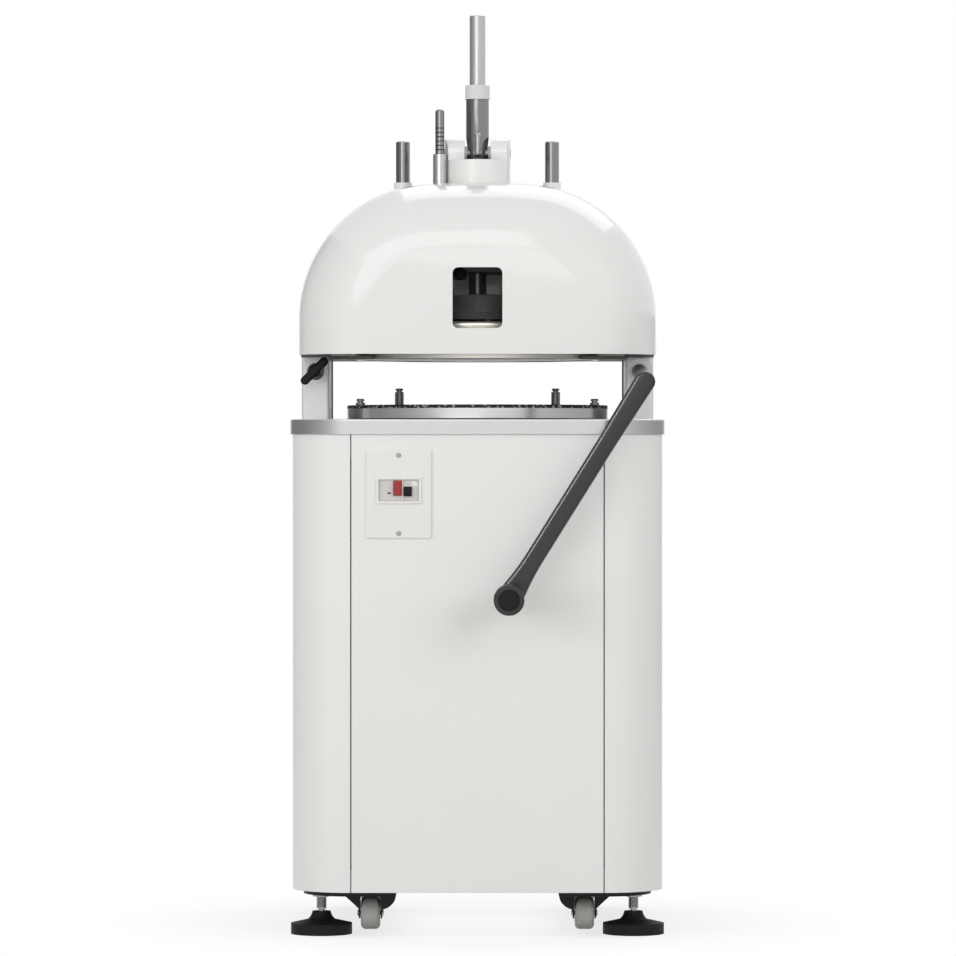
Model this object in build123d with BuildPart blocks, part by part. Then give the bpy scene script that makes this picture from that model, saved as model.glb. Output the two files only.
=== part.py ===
from build123d import *
import os
from math import acos, atan2, cos, degrees, pi, radians, sin, sqrt, tan

os.makedirs("parts", exist_ok=True)

# Dough divider rounder. Millimetres, +Z up, the operator stands at -Y. The origin lies on the
# floor under the middle of the outline; every y below counts from the rounding axis.

# Cabinet and table
CABINET_WIDTH = 640.0
CABINET_DEPTH = 640.0
CABINET_CORNER = 103.0
CABINET_BOTTOM = 78.0
PANEL_SHEET = 2.0
PANEL_SEAM = 2.0
PANEL_FOLD = 15.0
PANEL_LAP = 8.0
TABLE_Z = 890.0
TABLE_SHEET = 3.0
RIM_HEIGHT = 26.0
RIM_GAP = 1.0
RIM_EDGE = 2.5
TABLE_HOLE_R = 62.0
VENT_COUNT = 8
VENT_WIDTH = 150.0
VENT_HEIGHT = 7.0
VENT_PITCH = 18.0
VENT_Z = 330.0

# Frame inside the cabinet
RAIL_WIDTH = 20.0
RAIL_HEIGHT = 40.0
POST_SIZE = 40.0
POST_WALL = 3.0
POST_INSET = 56.0
BASE_PLATE = 8.0
BASE_INSET = 19.0
BASE_REACH = 180.0

# Levelling feet
FOOT_INSET_X = 50.0
FOOT_INSET_Y = 95.0
FOOT_R = 53.0
FOOT_RIM = 18.5
FOOT_HEIGHT = 39.0
FOOT_NECK_R = 16.0
FOOT_BALL_R = 5.2
STEM_R = 8.0
STEM_FOOT = 43.0
FOOT_NUT_R = 13.0
FOOT_NUT = 6.0

# Castors
WHEEL_R = 28.0
WHEEL_WIDTH = 33.0
WHEEL_ROUND = 8.0
AXLE_R = 4.0
AXLE_FIT = 0.05
FRONT_LIFT = 8.0
FRONT_CASTOR_INSET_X = 135.0
FRONT_CASTOR_INSET_Y = 90.0
REAR_CASTOR_INSET_X = 128.0
REAR_CASTOR_INSET_Y = 70.0
BRACKET_TOP = 88.0
BRACKET_LENGTH = 46.0
BRACKET_SHEET = 2.5
BRACKET_PLATE = 3.0
WING_DROP = 21.0
WING_SLANT = 0.62
WING_BULGE = 0.84
LEG_GAP = 1.0

# Starter on the front panel
SWITCH_X = -135.0
SWITCH_Z = 761.5
SWITCH_PLATE_WIDTH = 111.0
SWITCH_PLATE_HEIGHT = 151.0
SWITCH_PLATE = 3.0
STARTER_Z = 768.0
STARTER_WIDTH = 68.0
STARTER_HEIGHT = 36.0
STARTER_DEPTH = 58.0
STARTER_FLANGE = 3.0
BEZEL_WALL = 5.0
BEZEL_PROUD = 2.0
STOP_X = -137.0
STOP_Z = 771.5
STOP_WIDTH = 13.4
STOP_HEIGHT = 25.0
START_X = -119.5
START_Z = 766.0
START_WIDTH = 13.4
START_HEIGHT = 16.0
BUTTON_PROUD = 5.0
BUTTON_DEPTH = 9.0
BUTTON_FIT = 0.3
BUTTON_TRAVEL = 3.5

# Rounding drive
CRANK_THROW = 16.0
DRIVE_PLATE_Z = 806.0
DRIVE_PLATE = 12.0
DRIVE_PLATE_DEPTH = 300.0
HOUSING_R = 45.0
HOUSING_LENGTH = 66.0
SHAFT_R = 17.5
SHAFT_FOOT = 690.0
WEB_R = 40.0
WEB_THICK = 17.0
CRANK_PIN_R = 15.0
RUNNING_FIT = 0.05
IDLER_X = 130.0
IDLER_Y = 75.0
IDLER_JOURNAL_R = 10.0
IDLER_PIN_R = 8.0
IDLER_WEB_R = 28.0
IDLER_WEB = 14.0
IDLER_BOSS_R = 22.0
IDLER_BOSS = 24.0
SPIDER_Z = 842.0
SPIDER_THICK = 16.0
SPIDER_HUB_R = 48.0
SPIDER_EYE_R = 22.0
POST_R = 40.0
PULLEY_Z = 700.0
PULLEY_WIDTH = 30.0
DRIVEN_R = 100.0
DRIVING_R = 25.0
PULLEY_LIP = 4.0
PULLEY_LIP_WIDTH = 3.0
BELT_GAP = 0.3
BELT_THICK = 4.0
MOTOR_INSET = 94.0
MOTOR_R = 56.0
MOTOR_FIN = 7.0
MOTOR_FINS = 16
MOTOR_LENGTH = 200.0
MOTOR_FLANGE_R = 70.0
MOTOR_FLANGE = 8.0
MOTOR_SHAFT_R = 9.0
SHELF_Z = 672.0
SHELF_THICK = 8.0

# Rounding disc
DISC_R = 231.0
DISC_Z = 895.0
DISC_THICK = 15.0
PAD_THICK = 6.0
TALL_PEG_X = 141.0
TALL_PEG_Y = 150.0
TALL_PEG = 32.0
SHORT_PEG_X = 206.0
SHORT_PEG_Y = -80.0
SHORT_PEG = 11.0
PEG_R = 8.0
PEG_NECK = 2.5
PEG_NECK_R = 5.0
PEG_HEAD = 4.0
PEG_HEAD_R = 7.0

# Columns with the lock handle and the rounding lever
COLUMN_X = 284.9
COLUMN_WIDTH = 49.0
COLUMN_FRONT = -79.0
COLUMN_DEPTH = 150.0
COLUMN_WALL = 6.0
COLUMN_HEIGHT = 110.0
BOSS_Z = 975.0
LOCK_SHAFT_R = 8.0
LOCK_FLANGE_R = 15.0
LOCK_REACH = 70.0
LOCK_BAR = 62.0
LOCK_BAR_R = 7.5
LEVER_SHAFT_R = 13.0
LEVER_FLANGE_R = 24.0
FLANGE_THICK = 5.0
SLEEVE_WALL = 4.0
NECK_START = 14.0
NECK_BEND = 60.0
ARM_GAP = 32.0
ARM_DROP = 21.5
ARM_THICK = 26.0
ARM_LENGTH = 437.0
ARM_LEAN = 32.0
ARM_TOP_R = 19.0
ARM_FOOT_R = 17.5
ARM_ROUND = 7.0
GRIP_R = 26.0
GRIP_LENGTH = 72.0
GRIP_ROUND = 5.0
GRIP_CAP_R = 18.5
GRIP_CAP_DEPTH = 1.5

# Hood
HOOD_WIDTH = 626.6
HOOD_DEPTH = 500.0
HOOD_WALL = 3.0
HOOD_BOTTOM = 1003.0
CROWN_Z = 1306.8
CROWN_R = 863.0
SHOULDER_R = 220.0
HOOD_FRONT_ROUND = 120.0
HOOD_REAR_ROUND = 45.0
WINDOW_WIDTH = 86.0
WINDOW_HEIGHT = 105.0
WINDOW_Z = 1100.0
WINDOW_CORNER = 10.0
HOOD_HOLE_GAP = 0.4

# Head frame, a portal that stands on the columns
LEG_INNER_X = 262.0
BEAM_Z = 1150.0
BEAM_HEIGHT = 55.0
BEAM_HOOD_GAP = 4.0
PORTAL_ROUND = 40.0
TURRET_PAD = 20.0
FLOOR_PLATE = 6.0
FLOOR_PLATE_Z = 996.0
FLOOR_PLATE_DEPTH = 240.0
FLOOR_PLATE_GAP = 3.0
GUIDE_X = 132.3
GUIDE_R = 12.5
SLEEVE_R = 16.0
SLEEVE_TOP = 1311.0
GUIDE_TOP = 1384.0
SPRING_X = 75.0
SPRING_Y = 45.0
SPRING_R = 11.0
SPRING_ROD_R = 4.0
SPRING_FIT = 0.3
SPRING_FOOT = 1120.0
SPRING_TOP = 1285.0
SPRING_COLLAR_R = 17.0
SPRING_COLLAR = 6.0

# Press: dough ring, knife basket and the segmented press plate
PRESS_TRAVEL = 45.0
PLATE_STROKE = 24.0
RING_R = 216.0
RING_WALL = 8.0
RING_Z = 996.0
RING_HEIGHT = 42.0
DIVISIONS = (5, 10, 15)
KNIFE_THICK = 2.5
KNIFE_RAISE = 2.0
KNIFE_PLATE = 8.0
KNIFE_BOSS_R = 30.0
KNIFE_BOSS = 18.0
SEGMENT_GAP = 0.5
SEGMENT_THICK = 10.0
SEGMENT_STEM_R = 5.0
STEM_GAP = 0.5
CARRIER_R = 196.0
CARRIER_THICK = 12.0
CARRIER_HUB_R = 48.0
CARRIER_HUB = 36.0
SCALE_X = -66.3
SCALE_Y = -81.0
SCALE_ROD_R = 8.0
SCALE_TUBE_R = 12.0
SCALE_FIT = 0.3
SCALE_TOP = 1436.7
SCALE_TUBE_TOP = 1357.0
SCALE_TUBE_FOOT = 1185.0
SCALE_MARKS = 10
SCALE_PITCH = 7.6
SCALE_MARK_TOP = 1402.0

# Press lever: toothed sector, idler and rack in the turret
MODULE = 2.5
PRESSURE = radians(20.0)
BACKLASH = 0.4
SECTOR_TEETH = 32
SECTOR_CUT = 8
IDLER_TEETH = 20
MESH_STEPS = 6
PIVOT_Z = 1360.0
RACK_PLANE = -9.0
RACK_R = 16.0
RACK_TEETH = 8
SECTOR_WIDTH = 15.0
SECTOR_HUB_R = 16.0
PIVOT_SHAFT_R = 10.0
GEAR_JOURNAL_R = 8.0
GEAR_HUB_R = 14.0
GEAR_HUB = 40.0
TURRET_R = 58.5
TURRET_WALL = 8.5
TURRET_TOP = 1347.0
TURRET_SLOT = 46.0
EAR_R = 28.0
RACK_TUBE_WALL = 5.5
RACK_TUBE_GAP = 0.5
RACK_CAP = 4.0
SOCKET_R = 20.6
SOCKET_FOOT_R = 17.7
SOCKET_SLOT = 16.6
SOCKET_HUB = 40.0
SOCKET_HUB_R = 17.5
SOCKET_CONE_TOP = 1389.0
SOCKET_TOP = 1455.0
COLLAR_R = 21.7
COLLAR_HEIGHT = 25.0
LEVER_TUBE_R = 14.0
LEVER_TUBE_WALL = 2.5
LEVER_TUBE_FOOT = 1402.0
LEVER_TOP = 1603.0
BOLT_R = 4.5
BOLT_HEAD_R = 6.0
BOLT_FOOT = 1358.0
BOLT_TOP = 1395.0

# Cable gland in the rear panel
GLAND_INSET = 30.0
GLAND_Z = 170.0
GLAND_R = 13.0
GLAND_REACH = 18.0
GLAND_BORE_R = 5.0

# Values that follow from the sizes above
arm_back = -CABINET_DEPTH / 2 - ARM_GAP
front_reach = -arm_back + ARM_THICK + GRIP_LENGTH
rear_reach = CABINET_DEPTH / 2 + GLAND_REACH
AXIS_Y = (front_reach - rear_reach) / 2
half_width = CABINET_WIDTH / 2
half_depth = CABINET_DEPTH / 2
seam_x = half_width - CABINET_CORNER
rim_out = RIM_GAP + TABLE_SHEET
frame_top = TABLE_Z - TABLE_SHEET
top_ring_z = TABLE_Z - RIM_HEIGHT - RAIL_HEIGHT
post_x = half_width - POST_INSET
post_y = half_depth - POST_INSET
motor_x = MOTOR_INSET - post_x
foot_x = half_width - FOOT_INSET_X
foot_y = FOOT_INSET_Y - half_depth
gland_x = seam_x - GLAND_INSET
base_bottom = CABINET_BOTTOM - BASE_PLATE
crank_y = CRANK_THROW
pad_top = DISC_Z + DISC_THICK + PAD_THICK
column_top = TABLE_Z + COLUMN_HEIGHT
column_rear = COLUMN_FRONT + COLUMN_DEPTH
arm_z = BOSS_Z - ARM_DROP
beam_top = BEAM_Z + BEAM_HEIGHT
shoulder_x = HOOD_WIDTH / 2 - SHOULDER_R
crown_drop = CROWN_R - sqrt((CROWN_R - SHOULDER_R) ** 2 - shoulder_x ** 2)
spring_z = CROWN_Z - crown_drop
shoulder_turn = 90.0 - degrees(atan2(shoulder_x, CROWN_R - crown_drop))
plate_z = RING_Z + RING_HEIGHT
knife_top = plate_z + KNIFE_PLATE
boss_top = knife_top + KNIFE_BOSS
carrier_top = boss_top + CARRIER_THICK
knife_r = RING_R - RING_WALL
divide_r = [knife_r * sqrt(sum(DIVISIONS[:n]) / sum(DIVISIONS)) for n in range(len(DIVISIONS) + 1)]
tooth_pitch = pi * MODULE
sector_r = MODULE * SECTOR_TEETH / 2
idler_r = MODULE * IDLER_TEETH / 2
mesh_angle = MESH_STEPS * 360.0 / IDLER_TEETH
idler_y = RACK_PLANE - idler_r
pivot_y = idler_y + (sector_r + idler_r) * cos(radians(mesh_angle))
idler_z = PIVOT_Z - (sector_r + idler_r) * sin(radians(mesh_angle))
rack_top = idler_z + PRESS_TRAVEL + MODULE * 3
rack_tube_top = rack_top + RACK_TUBE_GAP + MODULE + RACK_CAP


def level(z, x=0.0, y=0.0):
    """A horizontal plane at height z over a point given from the rounding axis."""
    return Plane((x, AXIS_Y + y, z))


def facing(y, x=0.0, z=0.0):
    """An upright plane that looks at the operator, its own x to the right and y up."""
    return Plane((x, AXIS_Y + y, z), x_dir=(1, 0, 0), z_dir=(0, -1, 0))


def across(x, y=0.0, z=0.0):
    """An upright plane square to X, its own x to the rear and y up."""
    return Plane((x, AXIS_Y + y, z), x_dir=(0, 1, 0), z_dir=(1, 0, 0))


def keep(piece, name):
    """Label a finished piece and write it as its own file."""
    piece.part.label = name
    export_step(piece.part, f"parts/{name}.step")


# Cabinet: two sides that wrap round the corners, two flat panels between them
def side_panel(hand):
    """One wrap-round side with its folded seams; hand is -1 for left and 1 for right."""
    edge = seam_x + PANEL_SEAM / 2
    with BuildPart() as panel:
        with BuildSketch(level(CABINET_BOTTOM)):
            RectangleRounded(CABINET_WIDTH, CABINET_DEPTH, CABINET_CORNER)
            RectangleRounded(
                CABINET_WIDTH - 2 * PANEL_SHEET,
                CABINET_DEPTH - 2 * PANEL_SHEET,
                CABINET_CORNER - PANEL_SHEET,
                mode=Mode.SUBTRACT,
            )
            with Locations((hand * (edge + half_width) / 2, 0)):
                Rectangle(half_width - edge, CABINET_DEPTH, mode=Mode.INTERSECT)
        extrude(amount=TABLE_Z - RIM_HEIGHT + PANEL_LAP - CABINET_BOTTOM)
        with BuildSketch(level(fold_foot)):
            with GridLocations(0, CABINET_DEPTH - PANEL_FOLD, 1, 2):
                with Locations((hand * (edge + PANEL_SHEET / 2), 0)):
                    Rectangle(PANEL_SHEET, PANEL_FOLD)
        extrude(amount=fold_height)
    return panel


def flat_panel(y):
    """The blank of a flat panel between the seams, folded inwards at both edges."""
    inward = -1 if y > 0 else 1
    width = 2 * seam_x - PANEL_SEAM
    with BuildPart() as panel:
        with BuildSketch(level(CABINET_BOTTOM, y=y + inward * PANEL_SHEET / 2)):
            Rectangle(width, PANEL_SHEET)
        extrude(amount=TABLE_Z - RIM_HEIGHT + PANEL_LAP - CABINET_BOTTOM)
        with BuildSketch(level(fold_foot, y=y + inward * PANEL_FOLD / 2)):
            with GridLocations(width - PANEL_SHEET, 0, 2, 1):
                Rectangle(PANEL_SHEET, PANEL_FOLD)
        extrude(amount=fold_height)
    return panel


fold_foot = CABINET_BOTTOM + RAIL_HEIGHT + PANEL_SEAM
fold_height = top_ring_z - PANEL_SEAM - fold_foot
left_side_panel = side_panel(-1)
keep(left_side_panel, "left_side_panel")
right_side_panel = side_panel(1)
keep(right_side_panel, "right_side_panel")
front_blank = flat_panel(-half_depth)
rear_blank = flat_panel(half_depth)

with BuildPart() as front_panel:
    add(front_blank.part)
    with BuildSketch(facing(-half_depth, SWITCH_X, STARTER_Z)):
        Rectangle(STARTER_WIDTH + 4 * STARTER_FLANGE, STARTER_HEIGHT + 4 * STARTER_FLANGE)
    extrude(amount=-PANEL_SHEET, mode=Mode.SUBTRACT)
keep(front_panel, "front_panel")

with BuildPart() as rear_panel:
    add(rear_blank.part)
    with BuildSketch(facing(half_depth, 0, VENT_Z)):
        with GridLocations(0, VENT_PITCH, 1, VENT_COUNT):
            SlotOverall(VENT_WIDTH, VENT_HEIGHT)
        with Locations((gland_x, GLAND_Z - VENT_Z)):
            Circle(GLAND_R - PANEL_SHEET)
    extrude(amount=PANEL_SHEET, mode=Mode.SUBTRACT)
keep(rear_panel, "rear_panel")

with BuildPart() as cable_gland:
    with BuildSketch(facing(half_depth + GLAND_REACH / 2, gland_x, GLAND_Z)):
        RegularPolygon(GLAND_R, 6)
    extrude(amount=GLAND_REACH / 2)
    with BuildSketch(facing(half_depth + GLAND_REACH, gland_x, GLAND_Z)):
        Circle(GLAND_R - 2 * PANEL_SHEET)
    extrude(amount=GLAND_REACH / 2)
    with BuildSketch(facing(half_depth, gland_x, GLAND_Z)):
        Circle(GLAND_R - PANEL_SHEET)
    extrude(amount=GLAND_REACH / 2)
    with BuildSketch(facing(half_depth + GLAND_REACH, gland_x, GLAND_Z)):
        Circle(GLAND_BORE_R)
    extrude(amount=2 * GLAND_REACH, mode=Mode.SUBTRACT)
keep(cable_gland, "cable_gland")

with BuildPart() as table_top:
    with BuildSketch(level(TABLE_Z - RIM_HEIGHT)):
        RectangleRounded(
            CABINET_WIDTH + 2 * rim_out,
            CABINET_DEPTH + 2 * rim_out,
            CABINET_CORNER + rim_out,
        )
    extrude(amount=RIM_HEIGHT)
    fillet(table_top.faces().sort_by(Axis.Z)[-1].edges(), RIM_EDGE)
    with BuildSketch(level(TABLE_Z - RIM_HEIGHT)):
        RectangleRounded(
            CABINET_WIDTH + 2 * RIM_GAP,
            CABINET_DEPTH + 2 * RIM_GAP,
            CABINET_CORNER + RIM_GAP,
        )
    extrude(amount=RIM_HEIGHT - TABLE_SHEET, mode=Mode.SUBTRACT)
    with BuildSketch(level(TABLE_Z, y=crank_y)):
        Circle(TABLE_HOLE_R)
    extrude(amount=-TABLE_SHEET, mode=Mode.SUBTRACT)
keep(table_top, "table_top")

# Frame: two rings, four posts, rails for the drive and a shelf for the motor
with BuildPart() as base_frame:
    for ring_z in (CABINET_BOTTOM, top_ring_z):
        with BuildSketch(level(ring_z)):
            RectangleRounded(
                CABINET_WIDTH - 2 * PANEL_SHEET,
                CABINET_DEPTH - 2 * PANEL_SHEET,
                CABINET_CORNER - PANEL_SHEET,
            )
            RectangleRounded(
                CABINET_WIDTH - 2 * PANEL_SHEET - 2 * RAIL_WIDTH,
                CABINET_DEPTH - 2 * PANEL_SHEET - 2 * RAIL_WIDTH,
                CABINET_CORNER - PANEL_SHEET - RAIL_WIDTH,
                mode=Mode.SUBTRACT,
            )
        extrude(amount=RAIL_HEIGHT)
    with BuildSketch(level(CABINET_BOTTOM)):
        with GridLocations(2 * post_x, 2 * post_y, 2, 2):
            Rectangle(POST_SIZE, POST_SIZE)
    extrude(amount=frame_top - CABINET_BOTTOM)
    with BuildSketch(level(DRIVE_PLATE_Z - RAIL_HEIGHT)):
        with GridLocations(2 * post_x, 0, 2, 1):
            Rectangle(POST_SIZE, 2 * post_y)
    extrude(amount=RAIL_HEIGHT)
    with BuildSketch(level(SHELF_Z - RAIL_HEIGHT, x=-post_x)):
        Rectangle(POST_SIZE, 2 * post_y)
    extrude(amount=RAIL_HEIGHT)
    with BuildSketch(level(SHELF_Z, y=crank_y)):
        with Locations(((-post_x - POST_SIZE / 2 + motor_x + MOTOR_FLANGE_R) / 2, 0)):
            Rectangle(motor_x + MOTOR_FLANGE_R + post_x + POST_SIZE / 2, 2.4 * MOTOR_FLANGE_R)
        with Locations((motor_x, 0)):
            Circle(2 * MOTOR_SHAFT_R, mode=Mode.SUBTRACT)
    extrude(amount=SHELF_THICK)
    with BuildSketch(level(CABINET_BOTTOM)):
        with GridLocations(2 * post_x, 2 * post_y, 2, 2):
            Rectangle(POST_SIZE - 2 * POST_WALL, POST_SIZE - 2 * POST_WALL)
    extrude(amount=frame_top - CABINET_BOTTOM, mode=Mode.SUBTRACT)
keep(base_frame, "base_frame")

with BuildPart() as base_plates:
    with BuildSketch(level(base_bottom)):
        RectangleRounded(
            CABINET_WIDTH - 2 * BASE_INSET,
            CABINET_DEPTH - 2 * BASE_INSET,
            CABINET_CORNER - BASE_INSET,
        )
        Rectangle(2 * (half_width - BASE_REACH), CABINET_DEPTH, mode=Mode.SUBTRACT)
    extrude(amount=BASE_PLATE)
keep(base_plates, "base_plates")

# Levelling feet: a bell-shaped pad, a ball-ended stem and its lock nut
with BuildPart() as foot_pads:
    for hand in (-1, 1):
        with BuildSketch(facing(foot_y, hand * foot_x)):
            with BuildLine():
                flank = Polyline(
                    (0, FOOT_HEIGHT - FOOT_BALL_R),
                    (0, 0),
                    (FOOT_R, 0),
                    (FOOT_R, FOOT_RIM),
                    (1.5 * FOOT_NECK_R, FOOT_RIM + 0.32 * (FOOT_HEIGHT - FOOT_RIM)),
                )
                bell = ThreePointArc(
                    flank @ 1,
                    (1.16 * FOOT_NECK_R, FOOT_RIM + 0.62 * (FOOT_HEIGHT - FOOT_RIM)),
                    (FOOT_NECK_R, FOOT_HEIGHT),
                )
                rim = Line(bell @ 1, (FOOT_BALL_R, FOOT_HEIGHT))
                RadiusArc(rim @ 1, flank @ 0, FOOT_BALL_R)
            make_face()
        revolve(axis=Axis((hand * foot_x, AXIS_Y + foot_y, 0), (0, 0, 1)))
keep(foot_pads, "foot_pads")

with BuildPart() as foot_stems:
    for hand in (-1, 1):
        with Locations((hand * foot_x, AXIS_Y + foot_y, FOOT_HEIGHT)):
            Sphere(FOOT_BALL_R)
        with BuildSketch(level(FOOT_HEIGHT, hand * foot_x, foot_y)):
            Circle(FOOT_BALL_R)
        extrude(amount=STEM_FOOT - FOOT_HEIGHT)
        with BuildSketch(level(STEM_FOOT, hand * foot_x, foot_y)):
            Circle(STEM_R)
        extrude(amount=base_bottom - STEM_FOOT)
        with BuildSketch(level(base_bottom - FOOT_NUT, hand * foot_x, foot_y)):
            RegularPolygon(FOOT_NUT_R, 6, major_radius=False)
        extrude(amount=FOOT_NUT)
keep(foot_stems, "foot_stems")

# Castors: pressed brackets with riveted axles, the wings drawn in to hug the wheels
front_axle_z = FRONT_LIFT + WHEEL_R
rear_axle_z = WHEEL_R
front_castor_x = half_width - FRONT_CASTOR_INSET_X
rear_castor_x = half_width - REAR_CASTOR_INSET_X
leg_inner = WHEEL_WIDTH / 2 + LEG_GAP
leg_outer = leg_inner + BRACKET_SHEET
castors = (
    (-front_castor_x, FRONT_CASTOR_INSET_Y - half_depth, front_axle_z),
    (front_castor_x, FRONT_CASTOR_INSET_Y - half_depth, front_axle_z),
    (-rear_castor_x, half_depth - REAR_CASTOR_INSET_Y, rear_axle_z),
    (rear_castor_x, half_depth - REAR_CASTOR_INSET_Y, rear_axle_z),
)

with BuildPart() as castor_brackets:
    wing_top = base_bottom - BRACKET_PLATE
    for castor_x, castor_y, axle_z in castors:
        out = 1 if castor_x > 0 else -1
        with BuildSketch(level(wing_top, castor_x, castor_y)):
            RectangleRounded(BRACKET_TOP, 1.2 * BRACKET_LENGTH, BRACKET_PLATE)
        extrude(amount=BRACKET_PLATE)
        with BuildSketch(facing(castor_y - BRACKET_LENGTH / 2, castor_x, wing_top)):
            for wing, belly in ((out, WING_SLANT), (-out, WING_BULGE)):
                tip = (wing * BRACKET_TOP / 2, BRACKET_PLATE / 2)
                root = (wing * (BRACKET_TOP / 2 - 3 * BRACKET_SHEET), BRACKET_PLATE / 2)
                bow = belly * BRACKET_TOP / 2
                bow_inside = bow - 1.2 * BRACKET_SHEET
                heel_x = wing * (leg_outer - BRACKET_SHEET / 2)
                heel = (heel_x, -WING_DROP - BRACKET_SHEET)
                crook = (heel_x, -WING_DROP + BRACKET_SHEET)
                with BuildLine():
                    ThreePointArc(tip, (wing * bow, -0.72 * WING_DROP), heel)
                    Line(heel, crook)
                    ThreePointArc(crook, (wing * bow_inside, -0.55 * WING_DROP), root)
                    Line(root, tip)
                make_face()
        extrude(amount=-BRACKET_LENGTH)
        for leg in (-1, 1):
            foot = leg_inner if leg > 0 else -leg_outer
            with BuildSketch(across(castor_x + foot, castor_y, axle_z)):
                with BuildLine():
                    eye = CenterArc((0, 0), 2.5 * AXLE_R, 180, 180)
                    top_y = wing_top - axle_z
                    front_edge = Line(eye @ 0, (-BRACKET_LENGTH / 2, top_y))
                    rear_edge = Line(eye @ 1, (BRACKET_LENGTH / 2, top_y))
                    Line(front_edge @ 1, rear_edge @ 1)
                make_face()
            extrude(amount=BRACKET_SHEET)
        with BuildSketch(across(castor_x - leg_outer, castor_y, axle_z)):
            Circle(AXLE_R)
        extrude(amount=2 * leg_outer)
keep(castor_brackets, "castor_brackets")


def castor_wheel(place):
    """One wheel with a rounded tread, bored for its axle."""
    castor_x, castor_y, axle_z = place
    with BuildPart() as wheel:
        with BuildSketch(across(castor_x - WHEEL_WIDTH / 2, castor_y, axle_z)):
            Circle(WHEEL_R)
        extrude(amount=WHEEL_WIDTH)
        fillet(wheel.edges().filter_by(GeomType.CIRCLE), WHEEL_ROUND)
        with BuildSketch(across(castor_x - WHEEL_WIDTH / 2, castor_y, axle_z)):
            Circle(AXLE_R + AXLE_FIT)
        extrude(amount=WHEEL_WIDTH, mode=Mode.SUBTRACT)
    return wheel


front_left_wheel = castor_wheel(castors[0])
keep(front_left_wheel, "front_left_wheel")
front_right_wheel = castor_wheel(castors[1])
keep(front_right_wheel, "front_right_wheel")
rear_left_wheel = castor_wheel(castors[2])
keep(rear_left_wheel, "rear_left_wheel")
rear_right_wheel = castor_wheel(castors[3])
keep(rear_right_wheel, "rear_right_wheel")

# Starter: a plate with a raised bezel, the starter behind it and two buttons
plate_face = -half_depth - SWITCH_PLATE
starter_face = plate_face + SWITCH_PLATE / 2
button_face = starter_face - BUTTON_PROUD

with BuildPart() as switch_plate:
    with BuildSketch(facing(-half_depth, SWITCH_X, SWITCH_Z)):
        RectangleRounded(SWITCH_PLATE_WIDTH, SWITCH_PLATE_HEIGHT, SWITCH_PLATE)
    extrude(amount=SWITCH_PLATE)
    with BuildSketch(facing(plate_face, SWITCH_X, STARTER_Z)):
        RectangleRounded(
            STARTER_WIDTH + 2 * BEZEL_WALL, STARTER_HEIGHT + 2 * BEZEL_WALL, BEZEL_PROUD
        )
    extrude(amount=BEZEL_PROUD)
    with BuildSketch(facing(plate_face - BEZEL_PROUD, SWITCH_X, STARTER_Z)):
        Rectangle(STARTER_WIDTH + 2 * BUTTON_FIT, STARTER_HEIGHT + 2 * BUTTON_FIT)
    extrude(amount=-(SWITCH_PLATE + BEZEL_PROUD), mode=Mode.SUBTRACT)
keep(switch_plate, "switch_plate")

with BuildPart() as motor_starter:
    with BuildSketch(facing(-half_depth, SWITCH_X, STARTER_Z)):
        Rectangle(STARTER_WIDTH + 2 * STARTER_FLANGE, STARTER_HEIGHT + 2 * STARTER_FLANGE)
    extrude(amount=-STARTER_DEPTH)
    with BuildSketch(facing(-half_depth, SWITCH_X, STARTER_Z)):
        Rectangle(STARTER_WIDTH, STARTER_HEIGHT)
    extrude(amount=SWITCH_PLATE / 2)
    with BuildSketch(facing(starter_face)):
        with Locations((STOP_X, STOP_Z)):
            Rectangle(STOP_WIDTH + 2 * BUTTON_FIT, STOP_HEIGHT + 2 * BUTTON_FIT)
        with Locations((START_X, START_Z)):
            Rectangle(START_WIDTH + 2 * BUTTON_FIT, START_HEIGHT + 2 * BUTTON_FIT)
    extrude(amount=-(BUTTON_DEPTH + BUTTON_TRAVEL + 1.0), mode=Mode.SUBTRACT)
keep(motor_starter, "motor_starter")


def push_button(x, z, width, height):
    """One rectangular push button with its front edges eased."""
    with BuildPart() as button:
        with BuildSketch(facing(button_face, x, z)):
            RectangleRounded(width, height, 1.5)
        extrude(amount=-(BUTTON_PROUD + BUTTON_DEPTH))
        fillet(button.faces().sort_by(Axis.Y)[0].edges(), 1.0)
    return button


stop_button = push_button(STOP_X, STOP_Z, STOP_WIDTH, STOP_HEIGHT)
keep(stop_button, "stop_button")
start_button = push_button(START_X, START_Z, START_WIDTH, START_HEIGHT)
keep(start_button, "start_button")

# Rounding drive: motor, belt, eccentric shaft and two idler cranks that keep the disc square
with BuildPart() as motor:
    with BuildSketch(level(SHELF_Z, motor_x, crank_y)):
        Circle(MOTOR_FLANGE_R)
    extrude(amount=-MOTOR_FLANGE)
    with BuildSketch(level(SHELF_Z - MOTOR_FLANGE, motor_x, crank_y)):
        Circle(MOTOR_R)
        with PolarLocations(MOTOR_R, MOTOR_FINS):
            Rectangle(2 * MOTOR_FIN, MOTOR_FIN / 2)
    extrude(amount=-0.75 * MOTOR_LENGTH)
    with BuildSketch(level(SHELF_Z - MOTOR_FLANGE - 0.75 * MOTOR_LENGTH, motor_x, crank_y)):
        Circle(MOTOR_R + MOTOR_FIN)
    extrude(amount=-0.25 * MOTOR_LENGTH)
    with BuildSketch(level(SHELF_Z - MOTOR_FLANGE - MOTOR_LENGTH / 4, motor_x, crank_y)):
        with Locations((MOTOR_R, 0)):
            Rectangle(MOTOR_R, MOTOR_R)
    extrude(amount=-MOTOR_LENGTH / 3)
    with BuildSketch(level(SHELF_Z, motor_x, crank_y)):
        Circle(MOTOR_SHAFT_R + RUNNING_FIT)
    extrude(amount=-4 * MOTOR_FLANGE, mode=Mode.SUBTRACT)
keep(motor, "motor")


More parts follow.
